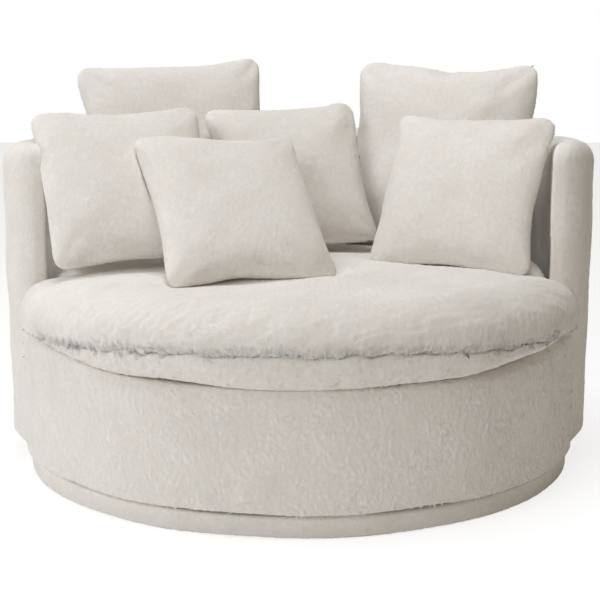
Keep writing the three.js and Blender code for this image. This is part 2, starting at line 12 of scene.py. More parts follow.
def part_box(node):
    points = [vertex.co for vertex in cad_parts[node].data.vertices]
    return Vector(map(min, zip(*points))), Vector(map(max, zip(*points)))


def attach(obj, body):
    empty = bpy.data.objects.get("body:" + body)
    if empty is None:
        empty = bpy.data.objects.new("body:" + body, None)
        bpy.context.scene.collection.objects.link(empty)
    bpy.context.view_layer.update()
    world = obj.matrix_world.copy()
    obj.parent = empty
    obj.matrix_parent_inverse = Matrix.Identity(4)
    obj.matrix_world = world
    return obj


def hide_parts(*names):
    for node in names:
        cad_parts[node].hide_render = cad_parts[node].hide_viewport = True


bl_info = {
    "name": "Cuddle Chair",
    "version": (1, 0, 0),
    "blender": (4, 5, 0),
    "location": "3D View > Sidebar > Cuddle Chair",
    "description": "Dresses the frame of a round swivel cuddle chair in long-pile cloth",
    "category": "Add Mesh",
}

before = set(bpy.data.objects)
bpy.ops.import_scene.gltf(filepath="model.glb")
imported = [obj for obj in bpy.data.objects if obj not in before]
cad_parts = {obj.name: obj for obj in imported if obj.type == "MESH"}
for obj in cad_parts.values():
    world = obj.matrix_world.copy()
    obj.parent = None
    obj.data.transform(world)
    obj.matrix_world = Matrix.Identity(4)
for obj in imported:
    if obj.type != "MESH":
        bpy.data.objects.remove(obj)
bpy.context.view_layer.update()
WALL_LOW, WALL_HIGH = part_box("wall_cover")
SEAT_LOW, SEAT_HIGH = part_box("seat_cushion_cover")
PLINTH_LOW, PLINTH_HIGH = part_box("plinth_cover")
PAD_LOW, PAD_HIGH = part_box("deck_pad")
DUST_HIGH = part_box("dust_cover")[1]
PLATE_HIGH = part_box("swivel_upper_plate")[1]
MM = 0.001
FULL_TURN = 2 * math.pi
HALF_TURN = math.pi
QUARTER_TURN = math.pi / 2


# Sizes and colours

def metres(name, description, default):
    return bpy.props.FloatProperty(name=name, description=description, default=default, unit="LENGTH")


def tint(name, description, default):
    return bpy.props.StringProperty(name=name, description=description, default=default)


class ChairSizes(bpy.types.PropertyGroup):
    """The chair's own sizes, in metres, and its pile's."""

    wall_radius: metres("Wall radius", "Outside of the round wall", WALL_HIGH.y)
    wall_thickness: metres("Wall thickness", "Outside to inside of the arms and back", 0.106)
    wall_past_side: bpy.props.FloatProperty(
        name="Wall reach", description="How far the wall comes forward past the middle on each side",
        default=math.radians(14), subtype="ANGLE")
    front_set_back: metres("Drum set-back", "Drum front behind the wall's outside", 0.044)
    front_rounding: metres("Drum rounding", "Radius of the drum front's upper edge", 0.03)
    front_depth: metres("Drum padding", "Cover and padding of the drum front together", 0.056)
    nose_slant: metres("Nose slant", "How far the wall's outside is drawn in at the tips of its ends", 0.05)
    cushion_set_back: metres("Cushion set-back", "Seat cushion's front behind the wall's outside", 0.022)
    cushion_clearance: metres("Cushion clearance", "Gap from the seat cushion's rear to the wall", 0.005)
    cushion_band: metres("Cushion band", "Height of the cushion's lower band, up to its seam", 0.071)
    cushion_crown: metres("Cushion crown", "Rise of the cushion's middle over its roll", 0.012)
    band_droop: metres("Band droop", "How far the band hangs over the drum's edge in the middle", 0.01)
    band_rise: metres("Band rise", "How far the band's lower edge rises at the ears", 0.036)
    seam_drop: metres("Seam drop", "How far the cushion's seam falls from the middle to the ears", 0.026)
    tuft_width: metres("Tuft width", "Tufts of the pile, across the lay", 0.009)
    tuft_length: metres("Tuft length", "Tufts of the pile, along the lay", 0.02)
    tuft_rise: metres("Tuft rise", "Height of a tuft over the hollows between them", 0.0026)
    lock_length: metres("Lock length", "Loose locks of fibre that stand out of the pile", 0.013)
    lock_width: metres("Lock width", "Width of a loose lock at its root", 0.0044)


class ChairColours(bpy.types.PropertyGroup):
    """The chair's colours, as sRGB hex values."""

    pile_tip: tint("Pile tips", "Cream of the pile's tips", "#F0EDE9")
    # The darker, warmer root colour is painted shade: the pile's material lays it in the hollows between tufts and
    # at the roots of the loose locks.
    pile_root_painted_shade: tint("Pile roots", "Warmer and darker roots of the pile", "#E6E0D8")
    plywood: tint("Plywood", "Face veneer of the frame's boards", "#C9A36D")
    plywood_dark: tint("Plywood grain", "Late wood and glue lines of the boards", "#A57B49")
    hardboard: tint("Hardboard", "Pressed fibre of the bent panels", "#7E5B3B")
    hardboard_dark: tint("Hardboard fibre", "Darker fibres of the bent panels", "#5F432B")
    webbing: tint("Webbing", "Elastic webbing", "#4B4A47")
    dust_cloth: tint("Dust cloth", "Spunbond cloth under the tub", "#232326")
    dust_cloth_dark: tint("Dust cloth bonds", "Pressed points of the spunbond cloth", "#141416")
    deck_cloth: tint("Deck cloth", "Calico over the deck pad", "#E4DCC8")
    zinc: tint("Zinc", "Zinc-plated steel of the swivel", "#B4B7B9")
    zinc_dark: tint("Zinc clouds", "Duller clouds in the zinc", "#9A9EA1")
    glide: tint("Glides", "Moulded polypropylene glides", "#2B2B2E")
    glide_dark: tint("Glide grain", "Darker grain of the glides", "#202023")


def sizes():
    return bpy.context.scene.cuddle_sizes


def colours():
    return bpy.context.scene.cuddle_colours


def linear(hex_colour):
    """A hex sRGB colour as linear RGBA."""
    parts = [int(hex_colour[i:i + 2], 16) / 255 for i in (1, 3, 5)]
    low_end, low_slope, offset, power = 0.04045, 12.92, 0.055, 2.4
    return tuple(
        p / low_slope if p <= low_end else ((p + offset) / (1 + offset)) ** power for p in parts
    ) + (1.0,)


# Noise for the pile

class LatticeNoise:
    """Smooth 3-D noise from random slopes on a lattice, the same for the same seed."""

    def __init__(self, seed):
        draws = np.random.default_rng(seed)
        self.order = draws.permutation(256).astype(np.int32)
        slopes = draws.normal(size=(3, 256))
        self.slopes = (slopes / np.linalg.norm(slopes, axis=0)).astype(np.float32)

    def __call__(self, points):
        points = points.T.astype(np.float32)
        cells = np.floor(points)
        part = points - cells
        cells = cells.astype(np.int32) & 255
        fade = part * part * part * (part * (part * 6 - 15) + 10)
        total = np.zeros(points.shape[1], np.float32)
        for corner in itertools.product((0, 1), repeat=3):
            x, y, z = ((cells[k] + corner[k]) & 255 for k in range(3))
            drawn = self.order[(self.order[(self.order[x] + y) & 255] + z) & 255]
            weight = 1.0
            lean = 0.0
            for k in range(3):
                weight = weight * (fade[k] if corner[k] else 1 - fade[k])
                lean = lean + (part[k] - corner[k]) * self.slopes[k][drawn]
            total += weight * lean
        return total


TUFT_NOISE = LatticeNoise(11)


def waves(points, pitch, seed, count=6):
    """Smooth wandering values, about -1 to 1, from a few slanted sine waves of about one pitch."""
    draws = np.random.default_rng(seed)
    slopes = draws.normal(size=(count, 3))
    spread = draws.uniform(0.7, 1.4, (count, 1))
    slopes *= FULL_TURN / pitch * spread / np.linalg.norm(slopes, axis=1, keepdims=True)
    turns = points @ slopes.T + draws.uniform(0, FULL_TURN, count)
    return np.sin(turns).sum(axis=1) / math.sqrt(count)


def tuft_heights(lay, curl):
    """Height of the pile's tufts, 0 in a hollow to about 1 on a tuft.

    The third coordinate runs along the lay. A curl of 1 leaves the tufts combed long, and a smaller one
    shortens them to nubs."""
    s = sizes()
    wander, bend = 0.12, 0.006
    crisp = 0.8
    finer, offset = 2.1, 5.5
    large_share, small_share = 0.65, 0.35
    gain = 1.35
    moved = lay + np.stack([waves(lay, wander, seed) for seed in (3, 5, 7)], axis=1) * bend
    across = np.array([s.tuft_width, s.tuft_width, s.tuft_length * curl])
    large = np.abs(TUFT_NOISE(moved / across)) ** crisp
    small = np.abs(TUFT_NOISE(moved / across * finer + offset)) ** crisp
    return gain * (large_share * large + small_share * small)


# Mesh helpers

def select_none():
    if bpy.context.object and bpy.context.object.mode != "OBJECT":
        bpy.ops.object.mode_set(mode="OBJECT")
    bpy.ops.object.select_all(action="DESELECT")


def select_only(piece):
    select_none()
    piece.select_set(True)
    bpy.context.view_layer.objects.active = piece


def read_vectors(items, key):
    values = np.empty(len(items) * 3, np.float32)
    items.foreach_get(key, values)
    return values.reshape(-1, 3).astype(float)


def points_of(piece):
    return read_vectors(piece.data.vertices, "co")


def normals_of(piece):
    return read_vectors(piece.data.vertex_normals, "vector")


def move_points(piece, points):
    piece.data.vertices.foreach_set("co", points.astype(np.float32).ravel())
    piece.data.update()


def close_up(piece, merge=1e-5):
    """Merges doubled points, turns all faces outwards and shades the piece smooth."""
    select_only(piece)
    bpy.ops.object.mode_set(mode="EDIT")
    bpy.ops.mesh.select_all(action="SELECT")
    bpy.ops.mesh.remove_doubles(threshold=merge)
    bpy.ops.mesh.normals_make_consistent(inside=False)
    bpy.ops.object.mode_set(mode="OBJECT")
    bpy.ops.object.shade_smooth()


def wire(name, outline, angle):
    """A closed outline of (radius, height) points, standing on a plane through the swivel axis."""
    select_none()
    bpy.ops.mesh.primitive_circle_add(vertices=len(outline), fill_type="NOTHING")
    piece = bpy.context.object
    piece.name = name
    radius, height = np.array(outline).T
    move_points(piece, np.stack([radius * math.cos(angle), radius * math.sin(angle), height], axis=1))
    return piece


def spin_selected(angle, steps, centre=(0, 0, 0)):
    """Spins what is selected in edit mode anticlockwise about a vertical axis."""
    bpy.ops.mesh.spin(steps=steps, angle=-angle, center=centre, axis=(0, 0, 1))


def spin_outline(name, outline, start, sweep, column):
    """A smooth piece turned from a closed outline, in columns about so wide.

    A part turn gets its two ends filled."""
    piece = wire(name, outline, start)
    widest = max(radius for radius, _ in outline)
    bpy.ops.object.mode_set(mode="EDIT")
    bpy.ops.mesh.select_all(action="SELECT")
    spin_selected(sweep, round(sweep * widest / column))
    if sweep < FULL_TURN:
        bpy.ops.mesh.select_all(action="DESELECT")
        bpy.ops.mesh.select_non_manifold()
        bpy.ops.mesh.fill()
    bpy.ops.object.mode_set(mode="OBJECT")
    close_up(piece)
    return piece


def refine(piece, levels=2):
    """Smooths a coarse piece into faces of a few millimetres."""
    apply_modifier(piece, "SUBSURF", levels=levels, render_levels=levels)
    select_only(piece)
    bpy.ops.object.shade_smooth()


def select_points(piece, chosen):
    """Selects the chosen points in edit mode, and nothing else."""
    bpy.ops.object.mode_set(mode="EDIT")
    bpy.ops.mesh.select_mode(type="VERT")
    bpy.ops.mesh.select_all(action="DESELECT")
    bpy.ops.object.mode_set(mode="OBJECT")
    flags = np.zeros(len(piece.data.vertices), bool)
    flags[:len(chosen)] = chosen
    piece.data.vertices.foreach_set("select", flags)
    bpy.ops.object.mode_set(mode="EDIT")
    bpy.ops.mesh.select_mode(type="EDGE")


def laid_grid(name, table):
    """A grid whose points are laid at a (rows, columns, 3) table of places."""
    rows, columns, _ = table.shape
    select_none()
    bpy.ops.mesh.primitive_grid_add(x_subdivisions=columns - 1, y_subdivisions=rows - 1, size=2)
    piece = bpy.context.object
    piece.name = name
    flat = points_of(piece)
    column = np.rint((flat[:, 0] + 1) / 2 * (columns - 1)).astype(int)
    row = np.rint((flat[:, 1] + 1) / 2 * (rows - 1)).astype(int)
    move_points(piece, table[row, column])
    return piece


def apply_modifier(piece, kind, **settings):
    modifier = piece.modifiers.new(kind.lower(), kind)
    for name, value in settings.items():
        setattr(modifier, name, value)
    select_only(piece)
    bpy.ops.object.modifier_apply(modifier=modifier.name)


def evenly(start, end, pitch):
    """Numbers from start to end, about one pitch apart."""
    return np.linspace(start, end, max(2, round(abs(end - start) / pitch) + 1))


def smooth_step(value, low, high):
    share = np.clip((value - low) / (high - low), 0, 1)
    return share * share * (3 - 2 * share)


def polar(radius, angle):
    return np.stack([radius * np.cos(angle), radius * np.sin(angle)], axis=-1)


def front_turn(points):
    """How far points lie round from the middle of the front: 0 ahead, a quarter turn at the sides."""
    return np.abs(np.arctan2(points[:, 0], -points[:, 1]))


# Long pile

def set_attribute(mesh, name, kind, key, values):
    attribute = mesh.attributes.new(name, kind, "POINT")
    attribute.data.foreach_set(key, np.ascontiguousarray(values, np.float32).ravel())


def pile_lay(points, normals, place=None):
    """Points along the lay, and how upright they are. It runs down the piece, or down a pillow's height."""
    if place is None:
        steep, level = 0.55, 0.85
        return points, 1 - smooth_step(np.abs(normals[:, 2]), steep, level)
    own = np.array(place.inverted())
    return (points @ own[:3, :3].T + own[:3, 3])[:, (0, 2, 1)], np.ones(len(points))


def tag_pile(mesh, lay, upright, heights):
    """The attributes that the pile's material reads."""
    set_attribute(mesh, "lay", "FLOAT_VECTOR", "vector", lay)
    set_attribute(mesh, "upright", "FLOAT", "value", upright)
    set_attribute(mesh, "tuft_height", "FLOAT", "value", heights)


def raise_pile(piece, place=None, rise=1.0, curl=1.0, slump=0.002):
    """Slumps a piece's surface a little and lifts it into tufts."""
    slump_pitch, clump_pitch = 0.26, 0.11
    common, clumps = 0.85, 0.2
    points = points_of(piece)
    normals = normals_of(piece)
    points = points + normals * (waves(points, slump_pitch, 29) * slump)[:, None]
    lay, upright = pile_lay(points, normals, place)
    heights = np.zeros(len(points))
    for part, turned in ((upright > 0, (0, 1, 2)), (upright < 1, (0, 2, 1))):
        if part.any():
            share = upright[part] if turned == (0, 1, 2) else 1 - upright[part]
            heights[part] += share * tuft_heights(lay[part][:, turned], curl)
    heights *= common + clumps * waves(points, clump_pitch, 31)
    move_points(piece, points + normals * (heights * sizes().tuft_rise * rise)[:, None])
    # The heights also go to the pile's material, which paints the hollows between tufts darker and warmer as painted
    # shade.
    tag_pile(piece.data, lay, upright, heights)


def lock_pattern():
    """One tapered lock of fibre, modelled a unit wide and a unit long, with its tip on +Z."""
    select_none()
    bpy.ops.mesh.primitive_cone_add(vertices=3, radius1=0.5, radius2=0, depth=1, end_fill_type="NGON")
    cone = bpy.context.object
    points = points_of(cone) + (0, 0, 0.5)
    faces = np.array([list(face.vertices) for face in cone.data.polygons], np.int32)
    bpy.data.objects.remove(cone)
    return points, faces


def mesh_of_triangles(name, points, triangles):
    mesh = bpy.data.meshes.new(name)
    mesh.vertices.add(len(points))
    mesh.vertices.foreach_set("co", points.astype(np.float32).ravel())
    mesh.loops.add(triangles.size)
    mesh.loops.foreach_set("vertex_index", triangles.astype(np.int32).ravel())
    mesh.polygons.add(len(triangles))
    mesh.polygons.foreach_set("loop_start", np.arange(len(triangles), dtype=np.int32) * 3)
    mesh.update()
    mesh.shade_smooth()
    return mesh


def scatter(piece, pitch, draws, wanted):
    """Places and normals all over a piece, one to each square pitch."""
    mesh = piece.data
    mesh.calc_loop_triangles()
    corners = np.empty(len(mesh.loop_triangles) * 3, np.int32)
    mesh.loop_triangles.foreach_get("vertices", corners)
    corners = corners.reshape(-1, 3)
    points = points_of(piece)
    normals = normals_of(piece)
    a, b, c = (points[corners[:, k]] for k in range(3))
    areas = np.linalg.norm(np.cross(b - a, c - a), axis=1) / 2
    if wanted is not None:
        areas = areas * wanted((a + b + c) / 3, normals[corners[:, 0]])
    count = int(areas.sum() / pitch ** 2)
    chosen = draws.choice(len(areas), count, p=areas / areas.sum())
    share = draws.random((count, 2))
    fold = share.sum(axis=1) > 1
    share[fold] = 1 - share[fold]
    mix = np.stack([1 - share.sum(axis=1), share[:, 0], share[:, 1]], axis=1)[:, :, None]
    place = (points[corners[chosen]] * mix).sum(axis=1)
    return place, unit((normals[corners[chosen]] * mix).sum(axis=1))


def unit(vectors):
    return vectors / np.linalg.norm(vectors, axis=1, keepdims=True)


def loose_locks(piece, name, pitch, seed, place=None, wanted=None, length=1.0):
    """Short tapered locks of fibre all over a piece, rooted in its pile and combed loosely along its lay.

    They lie so low that they cast no shadow of their own."""
    s = sizes()
    draws = np.random.default_rng(seed)
    root, normal = scatter(piece, pitch, draws, wanted)
    count = len(root)
    down = np.array([0.0, -0.45, -1.0])
    if place is not None:
        down = np.array(place)[:3, :3] @ np.array([0.0, -1.0, 0.0])
    drift_pitch, drift_share, scatter_share = 0.16, 0.7, 0.4
    drift = np.stack([waves(root, drift_pitch, k) for k in (41, 43, 47)], axis=1)
    along = down + drift * drift_share + draws.normal(scale=scatter_share, size=(count, 3))
    along = unit(along - normal * (along * normal).sum(axis=1, keepdims=True))
    lift_least, lift_most = 0.01, 0.11
    way = unit(along + normal * draws.uniform(lift_least, lift_most, (count, 1)))
    side = unit(np.cross(normal, way))
    over = np.cross(way, side)
    width = s.lock_width * draws.uniform(0.7, 1.3, (count, 1))
    reach = s.lock_length * length * draws.uniform(0.6, 1.3, (count, 1))
    sunk = 0.3 * MM
    flat = 0.14
    # Each lock is painted darker at its root than at its tip, as painted shade. The noise adds tone that differs at
    # random.
    root_shade, tip_shade, shade_noise = 0.6, 0.2, 0.04
    pattern, pattern_faces = lock_pattern()
    x, y, z = (pattern[:, k][None, :, None] for k in range(3))
    points = ((root - normal * sunk)[:, None] + (side * width)[:, None] * x
              + (over * width * flat)[:, None] * y + (way * reach)[:, None] * z).reshape(-1, 3)
    each = len(pattern)
    faces = (np.arange(count)[:, None, None] * each + pattern_faces[None]).reshape(-1, 3)
    mesh = mesh_of_triangles(name, points, faces)
    lay, upright = pile_lay(points, np.repeat(normal, each, axis=0), place)
    shade = root_shade + tip_shade * pattern[:, 2]
    heights = (shade[None] + draws.normal(scale=shade_noise, size=(count, 1))).ravel()
    tag_pile(mesh, lay, upright, heights)
    soft = unit(normal + side * draws.normal(scale=0.08, size=(count, 1)))
    set_attribute(mesh, "custom_normal", "FLOAT_VECTOR", "vector", np.repeat(soft, each, axis=0))
    locks = bpy.data.objects.new(name, mesh)
    locks.visible_shadow = False
    bpy.context.scene.collection.objects.link(locks)
    return locks


# Materials

def new_material(name):
    material = bpy.data.materials.new(name)
    material.use_nodes = True
    material.node_tree.nodes.clear()
    return material


def add_node(tree, kind, settings=(), links=()):
    """Adds one node, with its settings and its links by socket name or number."""
    node = tree.nodes.new(kind)
    for name, value in dict(settings).items():
        if isinstance(name, int) or name in node.inputs:
            node.inputs[name].default_value = value
        else:
            setattr(node, name, value)
    for name, source in dict(links).items():
        tree.links.new(source, node.inputs[name])
    return node


def set_ramp(node, stops):
    """Sets a colour ramp's stops, each a place and a linear colour."""
    while len(node.color_ramp.elements) < len(stops):
        node.color_ramp.elements.new(0.5)
    for element, (place, colour) in zip(node.color_ramp.elements, stops):
        element.position = place
        element.color = colour


def finish_surface(tree, colour, relief, relief_depth, settings):
    """A principled shader with a colour socket, a relief socket and that relief's depth in metres."""
    bump = add_node(tree, "ShaderNodeBump", {"Strength": 1.0, "Distance": relief_depth}, {"Height": relief})
    shader = add_node(tree, "ShaderNodeBsdfPrincipled", settings,
                      {"Base Color": colour, "Normal": bump.outputs[0]})
    add_node(tree, "ShaderNodeOutputMaterial", (), {"Surface": shader.outputs[0]})


def long_pile_cloth(name, wandering):
    """Knitted polyester long pile: matt and soft at grazing angles, with painted shade that makes it a little darker
    and warmer between tufts.

    Light wanders between its fibres, which the pile gets from its subsurface share."""
    c = colours()
    strand = 2.6 * MM
    strand_length = 18 * MM
    patch = 0.12
    share = 0.45
    material = new_material(name)
    tree = material.node_tree
    lay = add_node(tree, "ShaderNodeAttribute", {"attribute_name": "lay"})
    upright = add_node(tree, "ShaderNodeAttribute", {"attribute_name": "upright"})
    height = add_node(tree, "ShaderNodeAttribute", {"attribute_name": "tuft_height"})
    fine = {"Scale": 1.0, "Detail": 2.0, "Roughness": 0.55, "Distortion": 0.3}
    ways = []
    for way in (2, 1):
        scale = [1 / strand] * 3
        scale[way] = 1 / strand_length
        lain = add_node(tree, "ShaderNodeMapping", {"Scale": scale}, {"Vector": lay.outputs["Vector"]})
        ways.append(add_node(tree, "ShaderNodeTexNoise", fine, {"Vector": lain.outputs[0]}).outputs[0])
    strands = add_node(tree, "ShaderNodeMix", {"data_type": "FLOAT"},
                       {0: upright.outputs["Fac"], 2: ways[1], 3: ways[0]})
    patches = add_node(tree, "ShaderNodeTexNoise", {"Scale": 1 / patch, "Detail": 2.0},
                       {"Vector": lay.outputs["Vector"]})
    # Painted shade: the lower a tuft's height, the nearer its colour comes to the darker, warmer root colour. The
    # strands and patches add tone that differs at random.
    shade = add_node(tree, "ShaderNodeMath", {"operation": "MULTIPLY_ADD", 1: share},
                     {0: strands.outputs[0], 2: height.outputs["Fac"]})
    drift = add_node(tree, "ShaderNodeMath", {"operation": "MULTIPLY_ADD", 1: share},
                     {0: patches.outputs[0], 2: shade.outputs[0]})
    ramp = add_node(tree, "ShaderNodeValToRGB", (), {0: drift.outputs[0]})
    set_ramp(ramp, [(0.35, linear(c.pile_root_painted_shade)), (0.95, linear(c.pile_tip))])
    finish_surface(tree, ramp.outputs[0], strands.outputs[0], 0.3 * MM, {
        "Roughness": 0.95, "Sheen Weight": 0.15, "Sheen Roughness": 0.6, "Specular IOR Level": 0.1,
        "Subsurface Weight": wandering, "Subsurface Radius": (1.0, 0.9, 0.8), "Subsurface Scale": 8 * MM,
    })


def textured(name, kind, settings, stops, relief_depth, surface, stretch=None):
    """A material whose colour and relief follow one texture in object space, which a stretch draws out."""
    tree = new_material(name).node_tree
    place = add_node(tree, "ShaderNodeTexCoord").outputs["Object"]
    if stretch:
        place = add_node(tree, "ShaderNodeMapping", {"Scale": stretch}, {"Vector": place}).outputs[0]
    texture = add_node(tree, kind, settings, {"Vector": place}).outputs[0]
    ramp = add_node(tree, "ShaderNodeValToRGB", (), {0: texture})
    set_ramp(ramp, [(at, linear(hex_colour)) for at, hex_colour in stops])
    finish_surface(tree, ramp.outputs[0], texture, relief_depth, surface)


def birch_plywood(name, grain_way):
    """Birch plywood, sanded and raw: pale yellow, with long soft grain and darker, duller glue lines."""
    c = colours()
    ring_width, ring_length = 5 * MM, 90 * MM
    stretch = [1 / ring_width] * 3
    stretch[grain_way] = 1 / ring_length
    textured(name, "ShaderNodeTexNoise", {"Scale": 1.0, "Detail": 5.0, "Roughness": 0.6, "Distortion": 0.8},
             [(0.3, c.plywood_dark), (0.6, c.plywood)], 0.15 * MM,
             {"Roughness": 0.62, "IOR": 1.5, "Specular IOR Level": 0.4}, stretch)


def tempered_hardboard():
    """Hardboard, hot-pressed wood fibre: brown, mottled at a few millimetres, with a faint pressed sheen."""
    c = colours()
    mottle = 3 * MM
    textured(PANEL, "ShaderNodeTexNoise", {"Scale": 1 / mottle, "Detail": 4.0, "Roughness": 0.65},
             [(0.3, c.hardboard_dark), (0.7, c.hardboard)], 0.1 * MM, {"Roughness": 0.48, "IOR": 1.5})


def spunbond_cloth():
    """Spunbond polypropylene: thin black felt-like sheet, with bonded points a few millimetres apart."""
    c = colours()
    bond_pitch = 4 * MM
    textured("Black spunbond polypropylene", "ShaderNodeTexVoronoi",
             {"Scale": 1 / bond_pitch, "Randomness": 0.2},
             [(0.1, c.dust_cloth_dark), (0.5, c.dust_cloth)], 0.2 * MM,
             {"Roughness": 0.85, "Specular IOR Level": 0.25})


def zinc_plated_steel():
    """Zinc-plated pressed steel: bright grey, faintly cloudy, with soft wide highlights."""
    c = colours()
    cloud = 12 * MM
    textured("Zinc-plated steel", "ShaderNodeTexNoise", {"Scale": 1 / cloud, "Detail": 3.0},
             [(0.35, c.zinc_dark), (0.65, c.zinc)], 0.05 * MM, {"Roughness": 0.38, "Metallic": 1.0})


def moulded_polypropylene():
    """Moulded polypropylene: near-black, satin, with the fine grain of its mould."""
    c = colours()
    grain = 0.8 * MM
    textured("Moulded polypropylene", "ShaderNodeTexNoise", {"Scale": 1 / grain, "Detail": 2.0},
             [(0.3, c.glide_dark), (0.7, c.glide)], 0.05 * MM, {"Roughness": 0.5, "IOR": 1.49})


def woven_cloth(name, hex_colour, thread, roughness, relief):
    """A plain weave: round threads that pass over and under, with painted shade in the hollows between them, so it
    looks finely checked and matt.
    """
    bands_per_unit = 0.314
    # The hollows between the threads are painted at this share of the thread colour, as painted shade.
    hollow = 0.6
    tree = new_material(name).node_tree
    place = add_node(tree, "ShaderNodeTexCoord").outputs["Object"]
    threads = []
    for way in ("X", "Y"):
        waves_across = {"wave_type": "BANDS", "bands_direction": way, "Scale": bands_per_unit / (2 * thread),
                        "Distortion": 0.6, "Detail": 1.0}
        threads.append(add_node(tree, "ShaderNodeTexWave", waves_across, {"Vector": place}).outputs[1])
    weave = add_node(tree, "ShaderNodeMath", {"operation": "MULTIPLY"}, dict(enumerate(threads)))
    ramp = add_node(tree, "ShaderNodeValToRGB", (), {0: weave.outputs[0]})
    raised = linear(hex_colour)
    set_ramp(ramp, [(0.0, tuple(hollow * part for part in raised[:3]) + (1.0,)), (0.7, raised)])
    finish_surface(tree, ramp.outputs[0], weave.outputs[0], relief, {
        "Roughness": roughness, "Specular IOR Level": 0.2, "Sheen Weight": 0.1, "Sheen Roughness": 0.5})


def dress(piece, material):
    piece.data.materials.clear()
    piece.data.materials.append(bpy.data.materials[material])


def clothe(slot, body, piece, *locks):
    """Dresses a piece and its loose locks in long pile, and makes all of them ride on a body."""
    dress(piece, "Cream long pile")
    for loose in locks:
        dress(loose, "Cream long pile, loose locks")
    for clothed in (piece, *locks):
        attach(clothed, body)


BOARD_ACROSS = "Birch plywood, grain across"
BOARD_UPRIGHT = "Birch plywood, grain upright"
PANEL = "Tempered hardboard"
# The frame's materials, each with the starts of the names of its nodes
FINISHES = {
    BOARD_ACROSS: (
        "plinth_ring", "plinth_cross", "floor_board", "deck_ring", "front_rib", "rear_rib", "wall_top_rail"),
    BOARD_UPRIGHT: ("wall_post",),
    PANEL: ("wall_outer_panel", "wall_inner_panel", "front_panel"),
    "Woven elastic webbing": ("webbing",),
    "Zinc-plated steel": ("swivel",),
    "Moulded polypropylene": ("glide",),
}


class CUDDLE_OT_materials(bpy.types.Operator):
    """Materials of the cloths, and of the frame's boards, panels, webbing, plates and glides"""

    bl_idname = "cuddle.materials"
    bl_label = "Materials"

    def execute(self, context):
        c = colours()
        long_pile_cloth("Cream long pile", 0.32)
        long_pile_cloth("Cream long pile, loose locks", 0.15)
        birch_plywood(BOARD_ACROSS, 0)
        birch_plywood(BOARD_UPRIGHT, 2)
        tempered_hardboard()
        woven_cloth("Woven elastic webbing", c.webbing, 1.6 * MM, 0.8, 0.4 * MM)
        woven_cloth("Calico deck cloth", c.deck_cloth, 1.2 * MM, 0.9, 0.2 * MM)
        spunbond_cloth()
        zinc_plated_steel()
        moulded_polypropylene()
        for node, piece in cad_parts.items():
            for material, starts in FINISHES.items():
                if node.startswith(starts):
                    dress(piece, material)
        return {"FINISHED"}


# Pieces

def before_wall(turn):
    """1 all along the front, and down to 0 where the seat passes the wall's ends."""
    return 1 - smooth_step(turn, 1.24, 1.5)


def lifted_edge(points):
    """How far the deck's edge and the cushion's underside rise under the ears."""
    turn = front_turn(points)
    radius = np.hypot(points[:, 0], points[:, 1])
    rise = sizes().band_rise * smooth_step(turn, 0.5, 1.2) * smooth_step(radius, 0.585, 0.7)
    return rise * before_wall(turn)


def wall_outline(inset):
    """The wall's upright section: over its round top, down its outside, under it and up its inside."""
    s = sizes()
    half = s.wall_thickness / 2 - inset
    middle = s.wall_radius - s.wall_thickness / 2
    top = WALL_HIGH.z - inset - half
    base = WALL_LOW.z + 1 * MM
    foot = 0.016
    foot_turn = 0.8
    arch_row, row = 0.016, 0.02
    arch = [(middle + half * math.sin(t), top + half * math.cos(t))
            for t in evenly(0, QUARTER_TURN, arch_row / half)]
    side = [(middle + half, z) for z in evenly(top, base + foot, row)[1:]]
    under = [(middle + half - foot * (1 - math.cos(t)), base + foot * (1 - math.sin(t)))
             for t in evenly(0, QUARTER_TURN, foot_turn)[1:]]
    floor = [(x, base) for x in evenly(middle + half - foot, middle, row)[1:]]
    outer = arch + side + under + floor
    inner = [(2 * middle - x, z) for x, z in reversed(outer[1:-1])]
    return outer + inner


def draw_in_ends(points):
    """Draws the wall's outside in towards its ends: below the seat into the drum's face, above it to a slanted nose.

    Above the seat the inner edge of the nose is made squarer too."""
    s = sizes()
    half = s.wall_thickness / 2
    middle = s.wall_radius - half
    radius = np.hypot(points[:, 0], points[:, 1])
    ahead = (QUARTER_TURN - front_turn(points)) * middle
    end = s.wall_past_side * middle
    drum_from, drum_past, slant_from, corner = 0.02, 0.03, 0.04, 0.015
    into_drum = s.front_set_back * smooth_step(ahead, drum_from, end + drum_past)
    slant = s.nose_slant * np.clip((ahead - slant_from) / (end + half - slant_from), 0, 1) ** 2
    above = smooth_step(points[:, 2], SEAT_LOW.z, SEAT_HIGH.z)
    across = radius - middle
    inner = np.clip(-across / half, 0, 1)
    square = half * (np.sqrt(inner) - inner) * above * smooth_step(ahead, end, end + corner)
    drawn = (into_drum + (slant - into_drum) * above) * np.clip((across + half) / s.wall_thickness, 0, 1)
    points[:, :2] *= (1 - (drawn + square) / radius)[:, None]
    return points


BENT_BOARDS = {
    "wall_outer_panel": PANEL,
    "wall_top_rail": BOARD_ACROSS,
    "wall_post_1": BOARD_UPRIGHT,
    "wall_post_6": BOARD_UPRIGHT,
    "floor_board": BOARD_ACROSS,
}


def bend_board(node, material):
    """Stands a copy for a board of the frame, drawn in like the wall around it."""
    select_only(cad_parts[node])
    bpy.ops.object.duplicate()
    bent = bpy.context.object
    bent.name = f"{node}_bent"
    close_up(bent)
    bpy.ops.object.shade_flat()
    move_points(bent, draw_in_ends(points_of(bent)))
    dress(bent, material)
    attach(bent, "tub")
    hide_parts(node)


